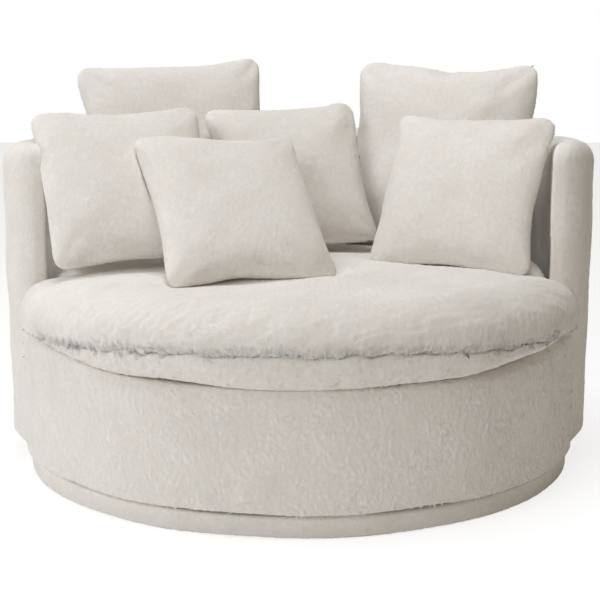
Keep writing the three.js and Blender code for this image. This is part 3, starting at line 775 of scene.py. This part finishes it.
class CUDDLE_OT_wall(bpy.types.Operator):
    """Arms and back in one: a round padded wall with slanted noses that run into the drum, in long pile"""

    bl_idname = "cuddle.wall"
    bl_label = "Wall"

    def execute(self, context):
        s = sizes()
        start = -s.wall_past_side
        sweep = HALF_TURN + 2 * s.wall_past_side
        middle = s.wall_radius - s.wall_thickness / 2
        column = 0.018
        wall = wire("wall_pile", wall_outline(s.tuft_rise), start)
        bpy.ops.object.mode_set(mode="EDIT")
        bpy.ops.mesh.select_all(action="SELECT")
        spin_selected(sweep, round(sweep * s.wall_radius / column))
        bpy.ops.object.mode_set(mode="OBJECT")
        points = points_of(wall)
        same_place, same_angle = 1e-5, 1e-4
        outside = np.hypot(points[:, 0], points[:, 1]) > middle - same_place
        angle = np.arctan2(points[:, 1], points[:, 0]) % FULL_TURN
        nose_steps = round(HALF_TURN * s.wall_thickness / 2 / column)
        for at, turn in ((start % FULL_TURN, -HALF_TURN), (start + sweep, HALF_TURN)):
            select_points(wall, outside & (np.abs(angle - at) < same_angle))
            spin_selected(turn, nose_steps, (middle * math.cos(at), middle * math.sin(at), 0))
            bpy.ops.object.mode_set(mode="OBJECT")
        close_up(wall, merge=1e-4)
        refine(wall)
        move_points(wall, draw_in_ends(points_of(wall)))
        raise_pile(wall, rise=1.1, curl=0.8)
        seat = SEAT_LOW.z + s.cushion_band
        past_drum_end = 0.03
        in_drum = QUARTER_TURN - s.wall_past_side - past_drum_end / middle

        def shows(points, normals):
            out = np.hypot(points[:, 0], points[:, 1]) > middle
            hidden = (points[:, 2] < SEAT_LOW.z) & (front_turn(points) < in_drum)
            return np.where(out | (points[:, 2] > seat), 1.0, 0.0) * (normals[:, 2] > -0.7) * ~hidden

        for node, material in BENT_BOARDS.items():
            bend_board(node, material)
        locks = loose_locks(wall, "wall_pile_locks", 0.015, 101, wanted=shows)
        clothe("pile_cloth", "tub", wall, locks)
        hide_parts("wall_cover", "wall_padding")
        return {"FINISHED"}


def drum_outline(inset):
    """The drum front's section: up its outside, over a rounded edge, in to a lip and down again."""
    s = sizes()
    outside = s.wall_radius - s.front_set_back - inset
    top = SEAT_LOW.z - 1 * MM - inset
    base = WALL_LOW.z
    bend = s.front_rounding - inset
    row = 0.016
    foot = 0.004
    face = [(outside, base + foot / 2), (outside, base + foot * 1.5)]
    face += [(outside, z) for z in evenly(base + row, top - bend, row)]
    edge = [(outside - bend * (1 - math.cos(t)), top - bend * (1 - math.sin(t)))
            for t in evenly(0, QUARTER_TURN, 0.5)[1:]]
    inside = outside - s.front_depth
    lid = [(x, top) for x in evenly(outside - bend, inside, row)[1:]]
    back_row = 0.04
    back = [(inside, z) for z in evenly(top, base, back_row)[1:]]
    floor = [(x, base) for x in evenly(inside, outside - row, row)[1:]]
    floor += [(outside - foot * 1.5, base), (outside - foot / 2, base)]
    return face + edge + lid + back + floor


class CUDDLE_OT_drum_front(bpy.types.Operator):
    """The drum's front between the ends of the wall, in long pile"""

    bl_idname = "cuddle.drum_front"
    bl_label = "Drum front"

    def execute(self, context):
        s = sizes()
        end = QUARTER_TURN - s.wall_past_side
        column = 0.013
        drum = spin_outline(
            "drum_front_pile", drum_outline(s.tuft_rise), -QUARTER_TURN - end, 2 * end, column)
        refine(drum)
        points = points_of(drum)
        height = (points[:, 2] - WALL_LOW.z) / (SEAT_LOW.z - WALL_LOW.z)
        points[:, 2] += lifted_edge(points) * height
        move_points(drum, points)
        raise_pile(drum, rise=2.1, curl=0.62)
        points = points_of(drum)
        hangs = 1.5 * MM
        points[:, 2] = np.maximum(points[:, 2], WALL_LOW.z - hangs)
        move_points(drum, points)
        inside = s.wall_radius - s.front_set_back - s.front_depth / 2

        def shows(points, normals):
            return (np.hypot(points[:, 0], points[:, 1]) > inside) * (normals[:, 2] > -0.7) * 1.0

        locks = loose_locks(drum, "drum_front_pile_locks", 0.013, 102, wanted=shows)
        clothe("pile_cloth", "tub", drum, locks)
        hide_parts("front_cover", "front_padding")
        return {"FINISHED"}


class CUDDLE_OT_plinth(bpy.types.Operator):
    """The low round plinth's band of long pile"""

    bl_idname = "cuddle.plinth"
    bl_label = "Plinth"

    def execute(self, context):
        s = sizes()
        inset = s.tuft_rise
        outside = -PLINTH_LOW.y - inset
        top = PLINTH_HIGH.z
        base = PLINTH_LOW.z + 1 * MM
        cover = 0.008
        skin = cover - inset
        lip_width = 0.03
        lip = outside - lip_width
        row = 0.012
        bend = 0.009
        ring_top = top - skin
        edge = [(outside - bend * (1 - math.cos(t)), top - bend * (1 - math.sin(t)))
                for t in evenly(0, QUARTER_TURN, 0.5)[1:-1]]
        outline = ([(outside, z) for z in evenly(base, top - bend, row)] + edge
                   + [(x, top) for x in evenly(outside - bend, lip, row)]
                   + [(x, ring_top) for x in evenly(lip, outside - skin, row)]
                   + [(outside - skin, z) for z in evenly(ring_top, base, row)[1:]])
        column = 0.02
        band = spin_outline("plinth_pile", outline, 0, FULL_TURN, column)
        refine(band)
        raise_pile(band, rise=1.2, curl=0.62, slump=0.001)
        clear_of_floor = 0.014

        def shows(points, normals):
            face = (points[:, 2] > clear_of_floor) & (points[:, 2] < top - bend)
            return (np.hypot(points[:, 0], points[:, 1]) > outside - bend) * face * 1.0

        locks = loose_locks(band, "plinth_pile_locks", 0.011, 103, wanted=shows, length=0.75)
        least, most = 0.5 * MM, top + 2.5 * MM
        for piece in (band, locks):
            points = points_of(piece)
            points[:, 2] = np.clip(points[:, 2], least, most)
            move_points(piece, points)
        clothe("pile_cloth", "plinth", band, locks)
        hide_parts("plinth_cover")
        return {"FINISHED"}


def cushion_loop(front_inset, rear_inset, z):
    """Plan of the seat cushion: a wide front with two ears ahead of the wall, and a rear inside it."""
    s = sizes()
    ear_angle = math.radians(18.7)
    ear_corner = 0.04
    corner_points, edge_points, rear_points, front_points = 12, 9, 230, 402
    corner = max(ear_corner - front_inset, ear_corner / 5)
    front = s.wall_radius - s.cushion_set_back - front_inset
    rear = s.wall_radius - s.wall_thickness - s.cushion_clearance - rear_inset
    ear = -ear_angle - math.asin(front_inset / rear)
    swing = math.asin(corner / (front - corner))
    centre = polar(front - corner, ear - swing)
    corner_turns = np.linspace(ear - swing, ear + QUARTER_TURN, corner_points)
    right = centre + polar(corner, corner_turns)
    edge = right[-1] + (polar(rear, ear) - right[-1]) * np.linspace(0, 1, edge_points)[1:-1, None]
    right = np.concatenate([right, edge])
    rear_arc = polar(rear, np.linspace(ear, HALF_TURN - ear, rear_points))
    left = right[::-1] * (-1, 1)
    front_turns = np.linspace(HALF_TURN - ear + swing, FULL_TURN + ear - swing, front_points)[1:-1]
    front_arc = polar(front, front_turns)
    loop = np.concatenate([right, rear_arc, left, front_arc, right[:1]])
    return np.column_stack([loop, np.full(len(loop), z)])


def grooved_loop(width, inset, z, fades):
    """A loop of the cushion drawn in by a width. The groove of its seam fades towards the ears."""
    loop = cushion_loop(width + inset, width + inset, z)
    if fades:
        fade_from, fade_to = 0.7, 1.12
        ears = smooth_step(front_turn(loop), fade_from, fade_to)[:, None]
        loop = loop * (1 - ears) + cushion_loop(inset, inset, z) * ears
    return loop


def cushion_rows(inset):
    """Loops of the seat cushion, from the middle of its underside to the middle of its top."""
    s = sizes()
    seam = SEAT_LOW.z + s.cushion_band
    top = SEAT_HIGH.z - inset
    foot_width, seam_depth, band_set_back, foot_share = 0.04, 0.016, 0.007, 0.9
    band_rows, bulge_rows, roll_rows, top_rows = 19, 7, 30, 78
    front_roll, rear_roll = 0.11, 0.06
    base = SEAT_LOW.z + inset / 2
    foot = cushion_loop(foot_width, foot_width, base)
    rows = [foot * (share, share, 1) for share in (0, 0.3, 0.6, 0.85, 0.92)]
    for t in np.linspace(0, 1, band_rows):
        z = base + (seam - base) * t
        if t < foot_share:
            drawn = (foot_width - band_set_back) * (1 - math.sqrt(1 - (1 - t / foot_share) ** 2))
        else:
            drawn = (seam_depth - band_set_back) * ((t - foot_share) / (1 - foot_share)) ** 3
        rows.append(grooved_loop(band_set_back + drawn, inset, z, t > foot_share))
    bulge = 0.022
    for t in np.linspace(0, 1, bulge_rows)[1:]:
        width = seam_depth * (1 - math.sqrt(1 - (1 - t) ** 2))
        rows.append(grooved_loop(width, inset, seam + bulge * t, True))
    roll = top - s.cushion_crown - seam - bulge
    for t in np.linspace(0, 1, roll_rows)[1:]:
        turn = t * QUARTER_TURN
        draw = 1 - math.cos(turn)
        rows.append(cushion_loop(front_roll * draw + inset, rear_roll * draw + inset,
                                 seam + bulge + roll * math.sin(turn)))
    flat = rows[-1]
    for share in np.linspace(1, 0, top_rows)[1:]:
        row = flat * (share, share, 0)
        row[:, 2] = top - s.cushion_crown * share ** 2
        rows.append(row)
    return np.array(rows)


def hang_band(points):
    """Droops the band over the drum's edge in the middle, lifts it at the ears and lets its seam wander."""
    s = sizes()
    turn = front_turn(points)
    radius = np.hypot(points[:, 0], points[:, 1])
    seam = SEAT_LOW.z + s.cushion_band
    shoulder = SEAT_HIGH.z - s.cushion_crown
    middle = 1 - smooth_step(turn, 0.15, 0.62)
    low = lifted_edge(points) - s.band_droop * middle * smooth_step(radius, 0.66, 0.7)
    ragged = 0.004 * waves(points, 0.05, 71) + 0.0025 * waves(points, 0.016, 73)
    drop_ahead = 0.08
    fall = drop_ahead + (1 - drop_ahead) * smooth_step(turn, 0.1, 1.0)
    mid = (ragged - s.seam_drop * fall) * before_wall(turn)
    z = points[:, 2]
    below = np.clip((z - SEAT_LOW.z) / s.cushion_band, 0, 1)
    above = np.clip((z - seam) / (shoulder - seam), 0, 1)
    shift = np.where(z < seam, low + (mid - low) * below, mid * (1 - above))
    points[:, 2] = z + shift
    return points


class CUDDLE_OT_seat_cushion(bpy.types.Operator):
    """The thick loose seat cushion: lower band, ragged seam, overhanging roll and crowned top"""

    bl_idname = "cuddle.seat_cushion"
    bl_label = "Seat cushion"

    def execute(self, context):
        s = sizes()
        cushion = laid_grid("seat_cushion_pile", cushion_rows(s.tuft_rise))
        close_up(cushion)
        points = hang_band(points_of(cushion))
        high = smooth_step(points[:, 2], SEAT_LOW.z + s.cushion_band, SEAT_HIGH.z - s.cushion_crown)
        points[:, 2] -= seat_dents(points) * high
        move_points(cushion, points)
        raise_pile(cushion, rise=1.3, slump=0.003)
        seam = SEAT_LOW.z + s.cushion_band

        def shows(points, normals):
            ahead = points[:, 1] < -0.15
            behind_share = 0.5
            return ahead * (normals[:, 2] > -0.8) * 1.0 + (~ahead) * (points[:, 2] > seam) * behind_share

        def over_seam(points, normals):
            height = points[:, 2] - seam + s.seam_drop * smooth_step(front_turn(points), 0.1, 1.0)
            fringe_half = 0.012
            return (np.abs(height - fringe_half) < fringe_half) * (front_turn(points) < 1.0) * 1.0

        fringe = loose_locks(
            cushion, "seat_cushion_seam_fringe", 0.0045, 105, wanted=over_seam, length=1.25)
        fringe.visible_shadow = True
        locks = loose_locks(cushion, "seat_cushion_pile_locks", 0.012, 104, wanted=shows)
        clothe("pile_cloth", "seat_cushion", cushion, locks, fringe)
        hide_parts("seat_cushion_cover", "seat_cushion_core")
        return {"FINISHED"}


class CUDDLE_OT_deck(bpy.types.Operator):
    """The deck pad under the seat cushion, in calico, and the dust cloth under the tub"""

    bl_idname = "cuddle.deck"
    bl_label = "Deck"

    def execute(self, context):
        edge = PAD_HIGH.x
        bend = 0.009
        low, high = PAD_LOW.z + 0.5 * MM, PAD_HIGH.z
        rounds = [(edge - bend * (1 - math.cos(t)), (low + high) / 2 + bend * math.sin(t))
                  for t in evenly(-QUARTER_TURN, QUARTER_TURN, 0.3)]
        dip = 0.002
        rows = [(edge * share, low) for share in (0, 0.3, 0.6, 0.9)]
        rows += rounds
        rows += [(edge * share, high - dip * (1 - share))
                 for share in (0.96, 0.9, 0.75, 0.6, 0.45, 0.3, 0.15, 0)]
        pad_columns, cloth_columns, cloth_rows = 145, 129, 12
        turns = np.linspace(0, FULL_TURN, pad_columns)
        table = [np.column_stack([polar(radius, turns), np.full(len(turns), z)]) for radius, z in rows]
        pad = laid_grid("deck_pad_cloth", np.array(table))
        close_up(pad)
        dress(pad, "Calico deck cloth")
        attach(pad, "tub")
        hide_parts("deck_pad")

        radius = DUST_HIGH.x
        hole_margin = 0.006
        hole = PLATE_HIGH.x + hole_margin
        sag = 0.0015
        turns = np.linspace(0, FULL_TURN, cloth_columns)
        outer = polar(radius, turns)
        square = np.maximum(np.abs(np.cos(turns)), np.abs(np.sin(turns)))
        inner = polar(hole / square, turns)
        table = []
        for share in np.linspace(0, 1, cloth_rows):
            height = DUST_HIGH.z - sag * math.sin(HALF_TURN * share)
            table.append(np.column_stack([inner + (outer - inner) * share, np.full(len(turns), height)]))
        cloth = laid_grid("dust_cloth", np.array(table))
        close_up(cloth)
        apply_modifier(cloth, "SOLIDIFY", thickness=0.5 * MM, offset=0)
        dress(cloth, "Black spunbond polypropylene")
        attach(cloth, "tub")
        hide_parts("dust_cover")
        return {"FINISHED"}


# Scatter pillows

SMALL = (0.42, 0.14)
MIDDLE = (0.408, 0.136)
LARGE = (0.51, 0.156)
# Name, side and thickness, foot as shares of the wall's radius, sink as a share of the thickness, and the
# yaw, lean and roll in degrees
PILLOWS = (
    ("front_centre", SMALL, (-0.1429, -0.4808), 0.1166, 20.5, 42.4, 1.0),
    ("front_right", SMALL, (0.4989, -0.1626), 0.1552, -23.2, 31.8, 0.0),
    ("front_left", SMALL, (-0.5099, -0.3684), -0.0855, 18.1, 34.4, 2.6),
    ("middle", MIDDLE, (0.0107, 0.007), -0.0655, 14.5, 30.6, 3.1),
    ("back_right", LARGE, (0.4597, 0.2138), 0.0457, -24.0, 20.0, -1.0),
    ("back_left", LARGE, (-0.3928, 0.1495), -0.0155, 18.0, 21.3, 3.3),
)


def seat_dents(points):
    """How deep the pillows' feet press into the seat cushion."""
    depth = np.zeros(len(points))
    spread, core, least, along_share = 0.1, 0.01, 0.004, 0.42
    for _, (side, thickness), foot, sink, yaw, _, _ in PILLOWS:
        way = np.array([math.cos(math.radians(yaw)), math.sin(math.radians(yaw))])
        from_foot = points[:, :2] - np.array(foot) * sizes().wall_radius
        along = np.clip(from_foot @ way, -along_share * side, along_share * side)
        away = np.linalg.norm(from_foot - along[:, None] * way, axis=1)
        depth = np.maximum(depth, max(sink * thickness, least) * (1 - smooth_step(away, core, spread)))
    return depth


def pillow_place(size, foot, sink, yaw, lean, roll):
    """The turn and place of a pillow that leans back from its foot on the seat."""
    side, thickness = size
    radius = sizes().wall_radius
    stand = Vector((foot[0] * radius, foot[1] * radius, SEAT_HIGH.z - sink * thickness))
    return (Matrix.Translation(stand) @ Matrix.Rotation(math.radians(yaw), 4, "Z")
            @ Matrix.Rotation(QUARTER_TURN - math.radians(lean), 4, "X")
            @ Matrix.Translation((0, side / 2, 0)) @ Matrix.Rotation(math.radians(roll), 4, "Z"))


def round_corners(u, v, corner):
    """Moves a unit square's points so that its corners are round."""
    reach = np.maximum(np.abs(u), np.abs(v))
    slope = np.where(reach > 0, np.minimum(np.abs(u), np.abs(v)) / np.maximum(reach, 1e-9), 0)
    straight = 1 - corner
    full = np.hypot(1, slope)
    past = np.maximum(slope - straight, 0) / corner
    cut = corner * (1 - np.sqrt(np.maximum(1 - past ** 2, 0))) * straight
    scale = 1 - np.where(slope > straight, cut / full, 0) * reach ** 2
    return u * scale, v * scale


def stuffed_pillow(name, cells, side):
    """Two square cloths sewn at their edges and blown up, as a unit pillow."""
    select_none()
    cut, corner = 1.12, 0.22
    bpy.ops.mesh.primitive_grid_add(x_subdivisions=cells, y_subdivisions=cells, size=side * cut)
    pillow = bpy.context.object
    pillow.name = name
    points = points_of(pillow)
    half = side * cut / 2
    u, v = round_corners(points[:, 0] / half, points[:, 1] / half, corner)
    points[:, 0] = u * half
    points[:, 1] = v * half
    move_points(pillow, points)
    apply_modifier(pillow, "SOLIDIFY", thickness=0.016, offset=0)
    cloth = pillow.modifiers.new("stuffing", "CLOTH")
    cloth.settings.quality = 5
    cloth.settings.mass = 0.25
    cloth.settings.tension_stiffness = 20
    cloth.settings.compression_stiffness = 20
    cloth.settings.shear_stiffness = 8
    cloth.settings.bending_stiffness = 1.5
    cloth.settings.use_pressure = True
    cloth.settings.uniform_pressure_force = 2.0
    cloth.settings.effector_weights.gravity = 0
    cloth.collision_settings.use_collision = False
    last = 24
    cloth.point_cache.frame_end = last
    scene = bpy.context.scene
    for step in range(1, last + 1):
        scene.frame_set(step)
    select_only(pillow)
    bpy.ops.object.modifier_apply(modifier=cloth.name)
    scene.frame_set(1)
    apply_modifier(pillow, "SMOOTH", factor=0.5, iterations=22)
    points = points_of(pillow)
    low, high = points.min(axis=0), points.max(axis=0)
    points = (points - (low + high) / 2) / ((high - low) / 2)
    draw = 0.045
    u, v = points[:, 0].copy(), points[:, 1].copy()
    points[:, 0] *= 1 - draw * (1 - v * v)
    points[:, 1] *= 1 - draw * (1 - u * u)
    move_points(pillow, points)
    return pillow


def press_clear(piece, trees, gap, depth):
    """Moves what lies in a neighbour, up to a depth, out to that neighbour's face and a gap clear of it."""
    points = points_of(piece)
    for tree in trees:
        for i, point in enumerate(points):
            where, normal, _, _ = tree.find_nearest(Vector(point), depth)
            if where is not None and (Vector(point) - where).dot(normal) < gap:
                points[i] = where + normal * gap
    move_points(piece, points)


def smooth_moved(piece, before):
    """Evens out the part of a piece that has moved from where its points were before."""
    moved = np.linalg.norm(points_of(piece) - before, axis=1) > 1 * MM
    pressed = piece.vertex_groups.new(name="pressed")
    pressed.add(np.flatnonzero(moved).tolist(), 1.0, "REPLACE")
    apply_modifier(piece, "SMOOTH", factor=0.5, iterations=8, vertex_group=pressed.name)
    piece.vertex_groups.clear()


def face_tree(piece):
    return BVHTree.FromObject(piece, bpy.context.evaluated_depsgraph_get())


class CUDDLE_OT_pillows(bpy.types.Operator):
    """Six scatter pillows in long pile, stuffed, leaned and pressed against what carries them"""

    bl_idname = "cuddle.pillows"
    bl_label = "Pillows"

    def execute(self, context):
        s = sizes()
        cells = 58
        patterns = {size: stuffed_pillow("pillow_pattern", cells, size[0]) for size in (SMALL, LARGE)}
        patterns[MIDDLE] = patterns[SMALL]
        trees = [face_tree(bpy.data.objects[name]) for name in ("seat_cushion_pile", "wall_pile")]
        for index, (name, size, foot, sink, yaw, lean, roll) in enumerate(PILLOWS):
            select_only(patterns[size])
            bpy.ops.object.duplicate()
            pillow = bpy.context.object
            pillow.name = f"pillow_{name}_pile"
            side, thickness = size
            points = points_of(pillow) @ np.array(Matrix.Rotation(QUARTER_TURN * index, 3, "Z")).T
            belly, reach_down, grown = 0.1, 0.012, 1.03
            points[:, 2] *= 1 - belly * points[:, 1]
            points *= np.array([side * grown, side * grown, thickness]) / 2 - s.tuft_rise
            points[:, 1] += (grown - 1) * side / 2
            points[:, 1] -= reach_down * smooth_step(-points[:, 1], 0, side / 2)
            slump_pitch, slump, first_seed = 0.4, 0.005, 60 + 3 * index
            ways = [waves(points, slump_pitch, first_seed + k) for k in range(3)]
            points += np.stack(ways, axis=1) * slump
            place = pillow_place(size, foot, sink, yaw, lean, roll)
            grid = np.array(place)
            move_points(pillow, points @ grid[:3, :3].T + grid[:3, 3])
            before = points_of(pillow)
            gap, depth = 1.5 * MM, 0.06
            press_clear(pillow, trees + trees[:2], gap, depth)
            smooth_moved(pillow, before)
            trees.append(face_tree(pillow))
            apply_modifier(pillow, "SUBSURF", levels=1, render_levels=1)
            close_up(pillow)
            raise_pile(pillow, place, rise=0.8, curl=0.8)
            locks = loose_locks(pillow, f"pillow_{name}_pile_locks", 0.012, 110 + index, place)
            clothe("pillow_cloth", f"pillow_{name}", pillow, locks)
            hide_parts(f"pillow_{name}_cover", f"pillow_{name}_fill")
        for pattern in set(patterns.values()):
            bpy.data.objects.remove(pattern)
        return {"FINISHED"}


def seen_directly(tree):
    """1 for what the camera or a gloss sees, and 0 for what lights the chair."""
    path = add_node(tree, "ShaderNodeLightPath")
    sees = add_node(tree, "ShaderNodeMath", {"operation": "MAXIMUM"},
                    {0: path.outputs["Is Camera Ray"], 1: path.outputs["Is Glossy Ray"]})
    return sees.outputs[0]


class CUDDLE_OT_studio(bpy.types.Operator):
    """White floor, soft light and the camera"""

    bl_idname = "cuddle.studio"
    bl_label = "Studio"

    def execute(self, context):
        scene = context.scene
        scene.view_settings.view_transform = "Standard"
        camera = bpy.data.cameras.new("camera")
        camera.sensor_width = 36
        camera.lens = 78
        camera.shift_x = 0.0019
        camera.shift_y = -0.0639
        eye = bpy.data.objects.new("camera", camera)
        eye.location = (0, -3.3491, 0.9885)
        pitch_down = 0.1452
        eye.rotation_euler = (QUARTER_TURN - pitch_down, 0, 0)
        scene.collection.objects.link(eye)
        scene.camera = eye

        world = bpy.data.worlds.new("studio")
        scene.world = world
        world.use_nodes = True
        tree = world.node_tree
        tree.nodes.clear()
        room = add_node(tree, "ShaderNodeBackground", {"Color": (1, 0.86, 0.62, 1), "Strength": 0.17})
        white = add_node(tree, "ShaderNodeBackground", {"Color": (1, 1, 1, 1), "Strength": 1.0})
        mixed = add_node(tree, "ShaderNodeMixShader", (), {
            0: seen_directly(tree), 1: room.outputs[0], 2: white.outputs[0]})
        add_node(tree, "ShaderNodeOutputWorld", (), {"Surface": mixed.outputs[0]})

        select_none()
        bpy.ops.mesh.primitive_plane_add(size=30, location=(0, 0, 0))
        floor = context.object
        floor.name = "studio_floor"
        white_floor = new_material("White studio floor")
        tree = white_floor.node_tree
        paint = add_node(tree, "ShaderNodeBsdfDiffuse", {"Color": (0.97, 0.97, 0.97, 1)})
        faint = add_node(tree, "ShaderNodeBsdfDiffuse", {"Color": (0.3, 0.3, 0.3, 1)})
        glow = add_node(tree, "ShaderNodeEmission", {"Color": (1, 1, 1, 1), "Strength": 0.8})
        shown = add_node(tree, "ShaderNodeAddShader", (), {0: glow.outputs[0], 1: faint.outputs[0]})
        mixed = add_node(tree, "ShaderNodeMixShader", (), {
            0: seen_directly(tree), 1: paint.outputs[0], 2: shown.outputs[0]})
        add_node(tree, "ShaderNodeOutputMaterial", (), {"Surface": mixed.outputs[0]})
        floor.data.materials.append(white_floor)

        lamps = (
            ("key", (-2.8, -4.1, 3.2), 2.6, 95, (0.94, 0.96, 1.0)),
            ("overhead", (-0.3, -0.4, 5.2), 2.6, 126, (0.935, 0.96, 1.0)),
            ("side", (-5.2, 0.4, 1.4), 2.4, 58, (0.94, 0.96, 1.0)),
            ("fill", (3.2, -4.0, 2.6), 2.6, 5, (1.0, 0.78, 0.5)),
        )
        centre = Vector((0, -0.1, 0.45))
        for name, place, size, power, colour in lamps:
            lamp = bpy.data.lights.new(name, "AREA")
            lamp.size = size
            lamp.energy = power
            lamp.color = colour
            light = bpy.data.objects.new(name, lamp)
            light.location = place
            aim = centre - Vector(place)
            light.rotation_euler = aim.to_track_quat("-Z", "Y").to_euler()
            scene.collection.objects.link(light)
        return {"FINISHED"}


class CUDDLE_PT_panel(bpy.types.Panel):
    """Lists the chair's pieces"""

    bl_label = "Cuddle Chair"
    bl_idname = "CUDDLE_PT_panel"
    bl_space_type = "VIEW_3D"
    bl_region_type = "UI"
    bl_category = "Cuddle Chair"

    def draw(self, context):
        for operator in OPERATORS:
            self.layout.operator(operator.bl_idname)


OPERATORS = (
    CUDDLE_OT_studio,
    CUDDLE_OT_materials,
    CUDDLE_OT_plinth,
    CUDDLE_OT_drum_front,
    CUDDLE_OT_wall,
    CUDDLE_OT_deck,
    CUDDLE_OT_seat_cushion,
    CUDDLE_OT_pillows,
)
CLASSES = (ChairSizes, ChairColours, *OPERATORS, CUDDLE_PT_panel)


def register():
    for made in CLASSES:
        bpy.utils.register_class(made)
    bpy.types.Scene.cuddle_sizes = bpy.props.PointerProperty(type=ChairSizes)
    bpy.types.Scene.cuddle_colours = bpy.props.PointerProperty(type=ChairColours)


def unregister():
    del bpy.types.Scene.cuddle_colours
    del bpy.types.Scene.cuddle_sizes
    for made in reversed(CLASSES):
        bpy.utils.unregister_class(made)


def main():
    register()
    bpy.ops.cuddle.studio()
    bpy.ops.cuddle.materials()
    bpy.ops.cuddle.plinth()
    bpy.ops.cuddle.drum_front()
    bpy.ops.cuddle.wall()
    bpy.ops.cuddle.deck()
    bpy.ops.cuddle.seat_cushion()
    bpy.ops.cuddle.pillows()


if __name__ == "__main__":
    main()
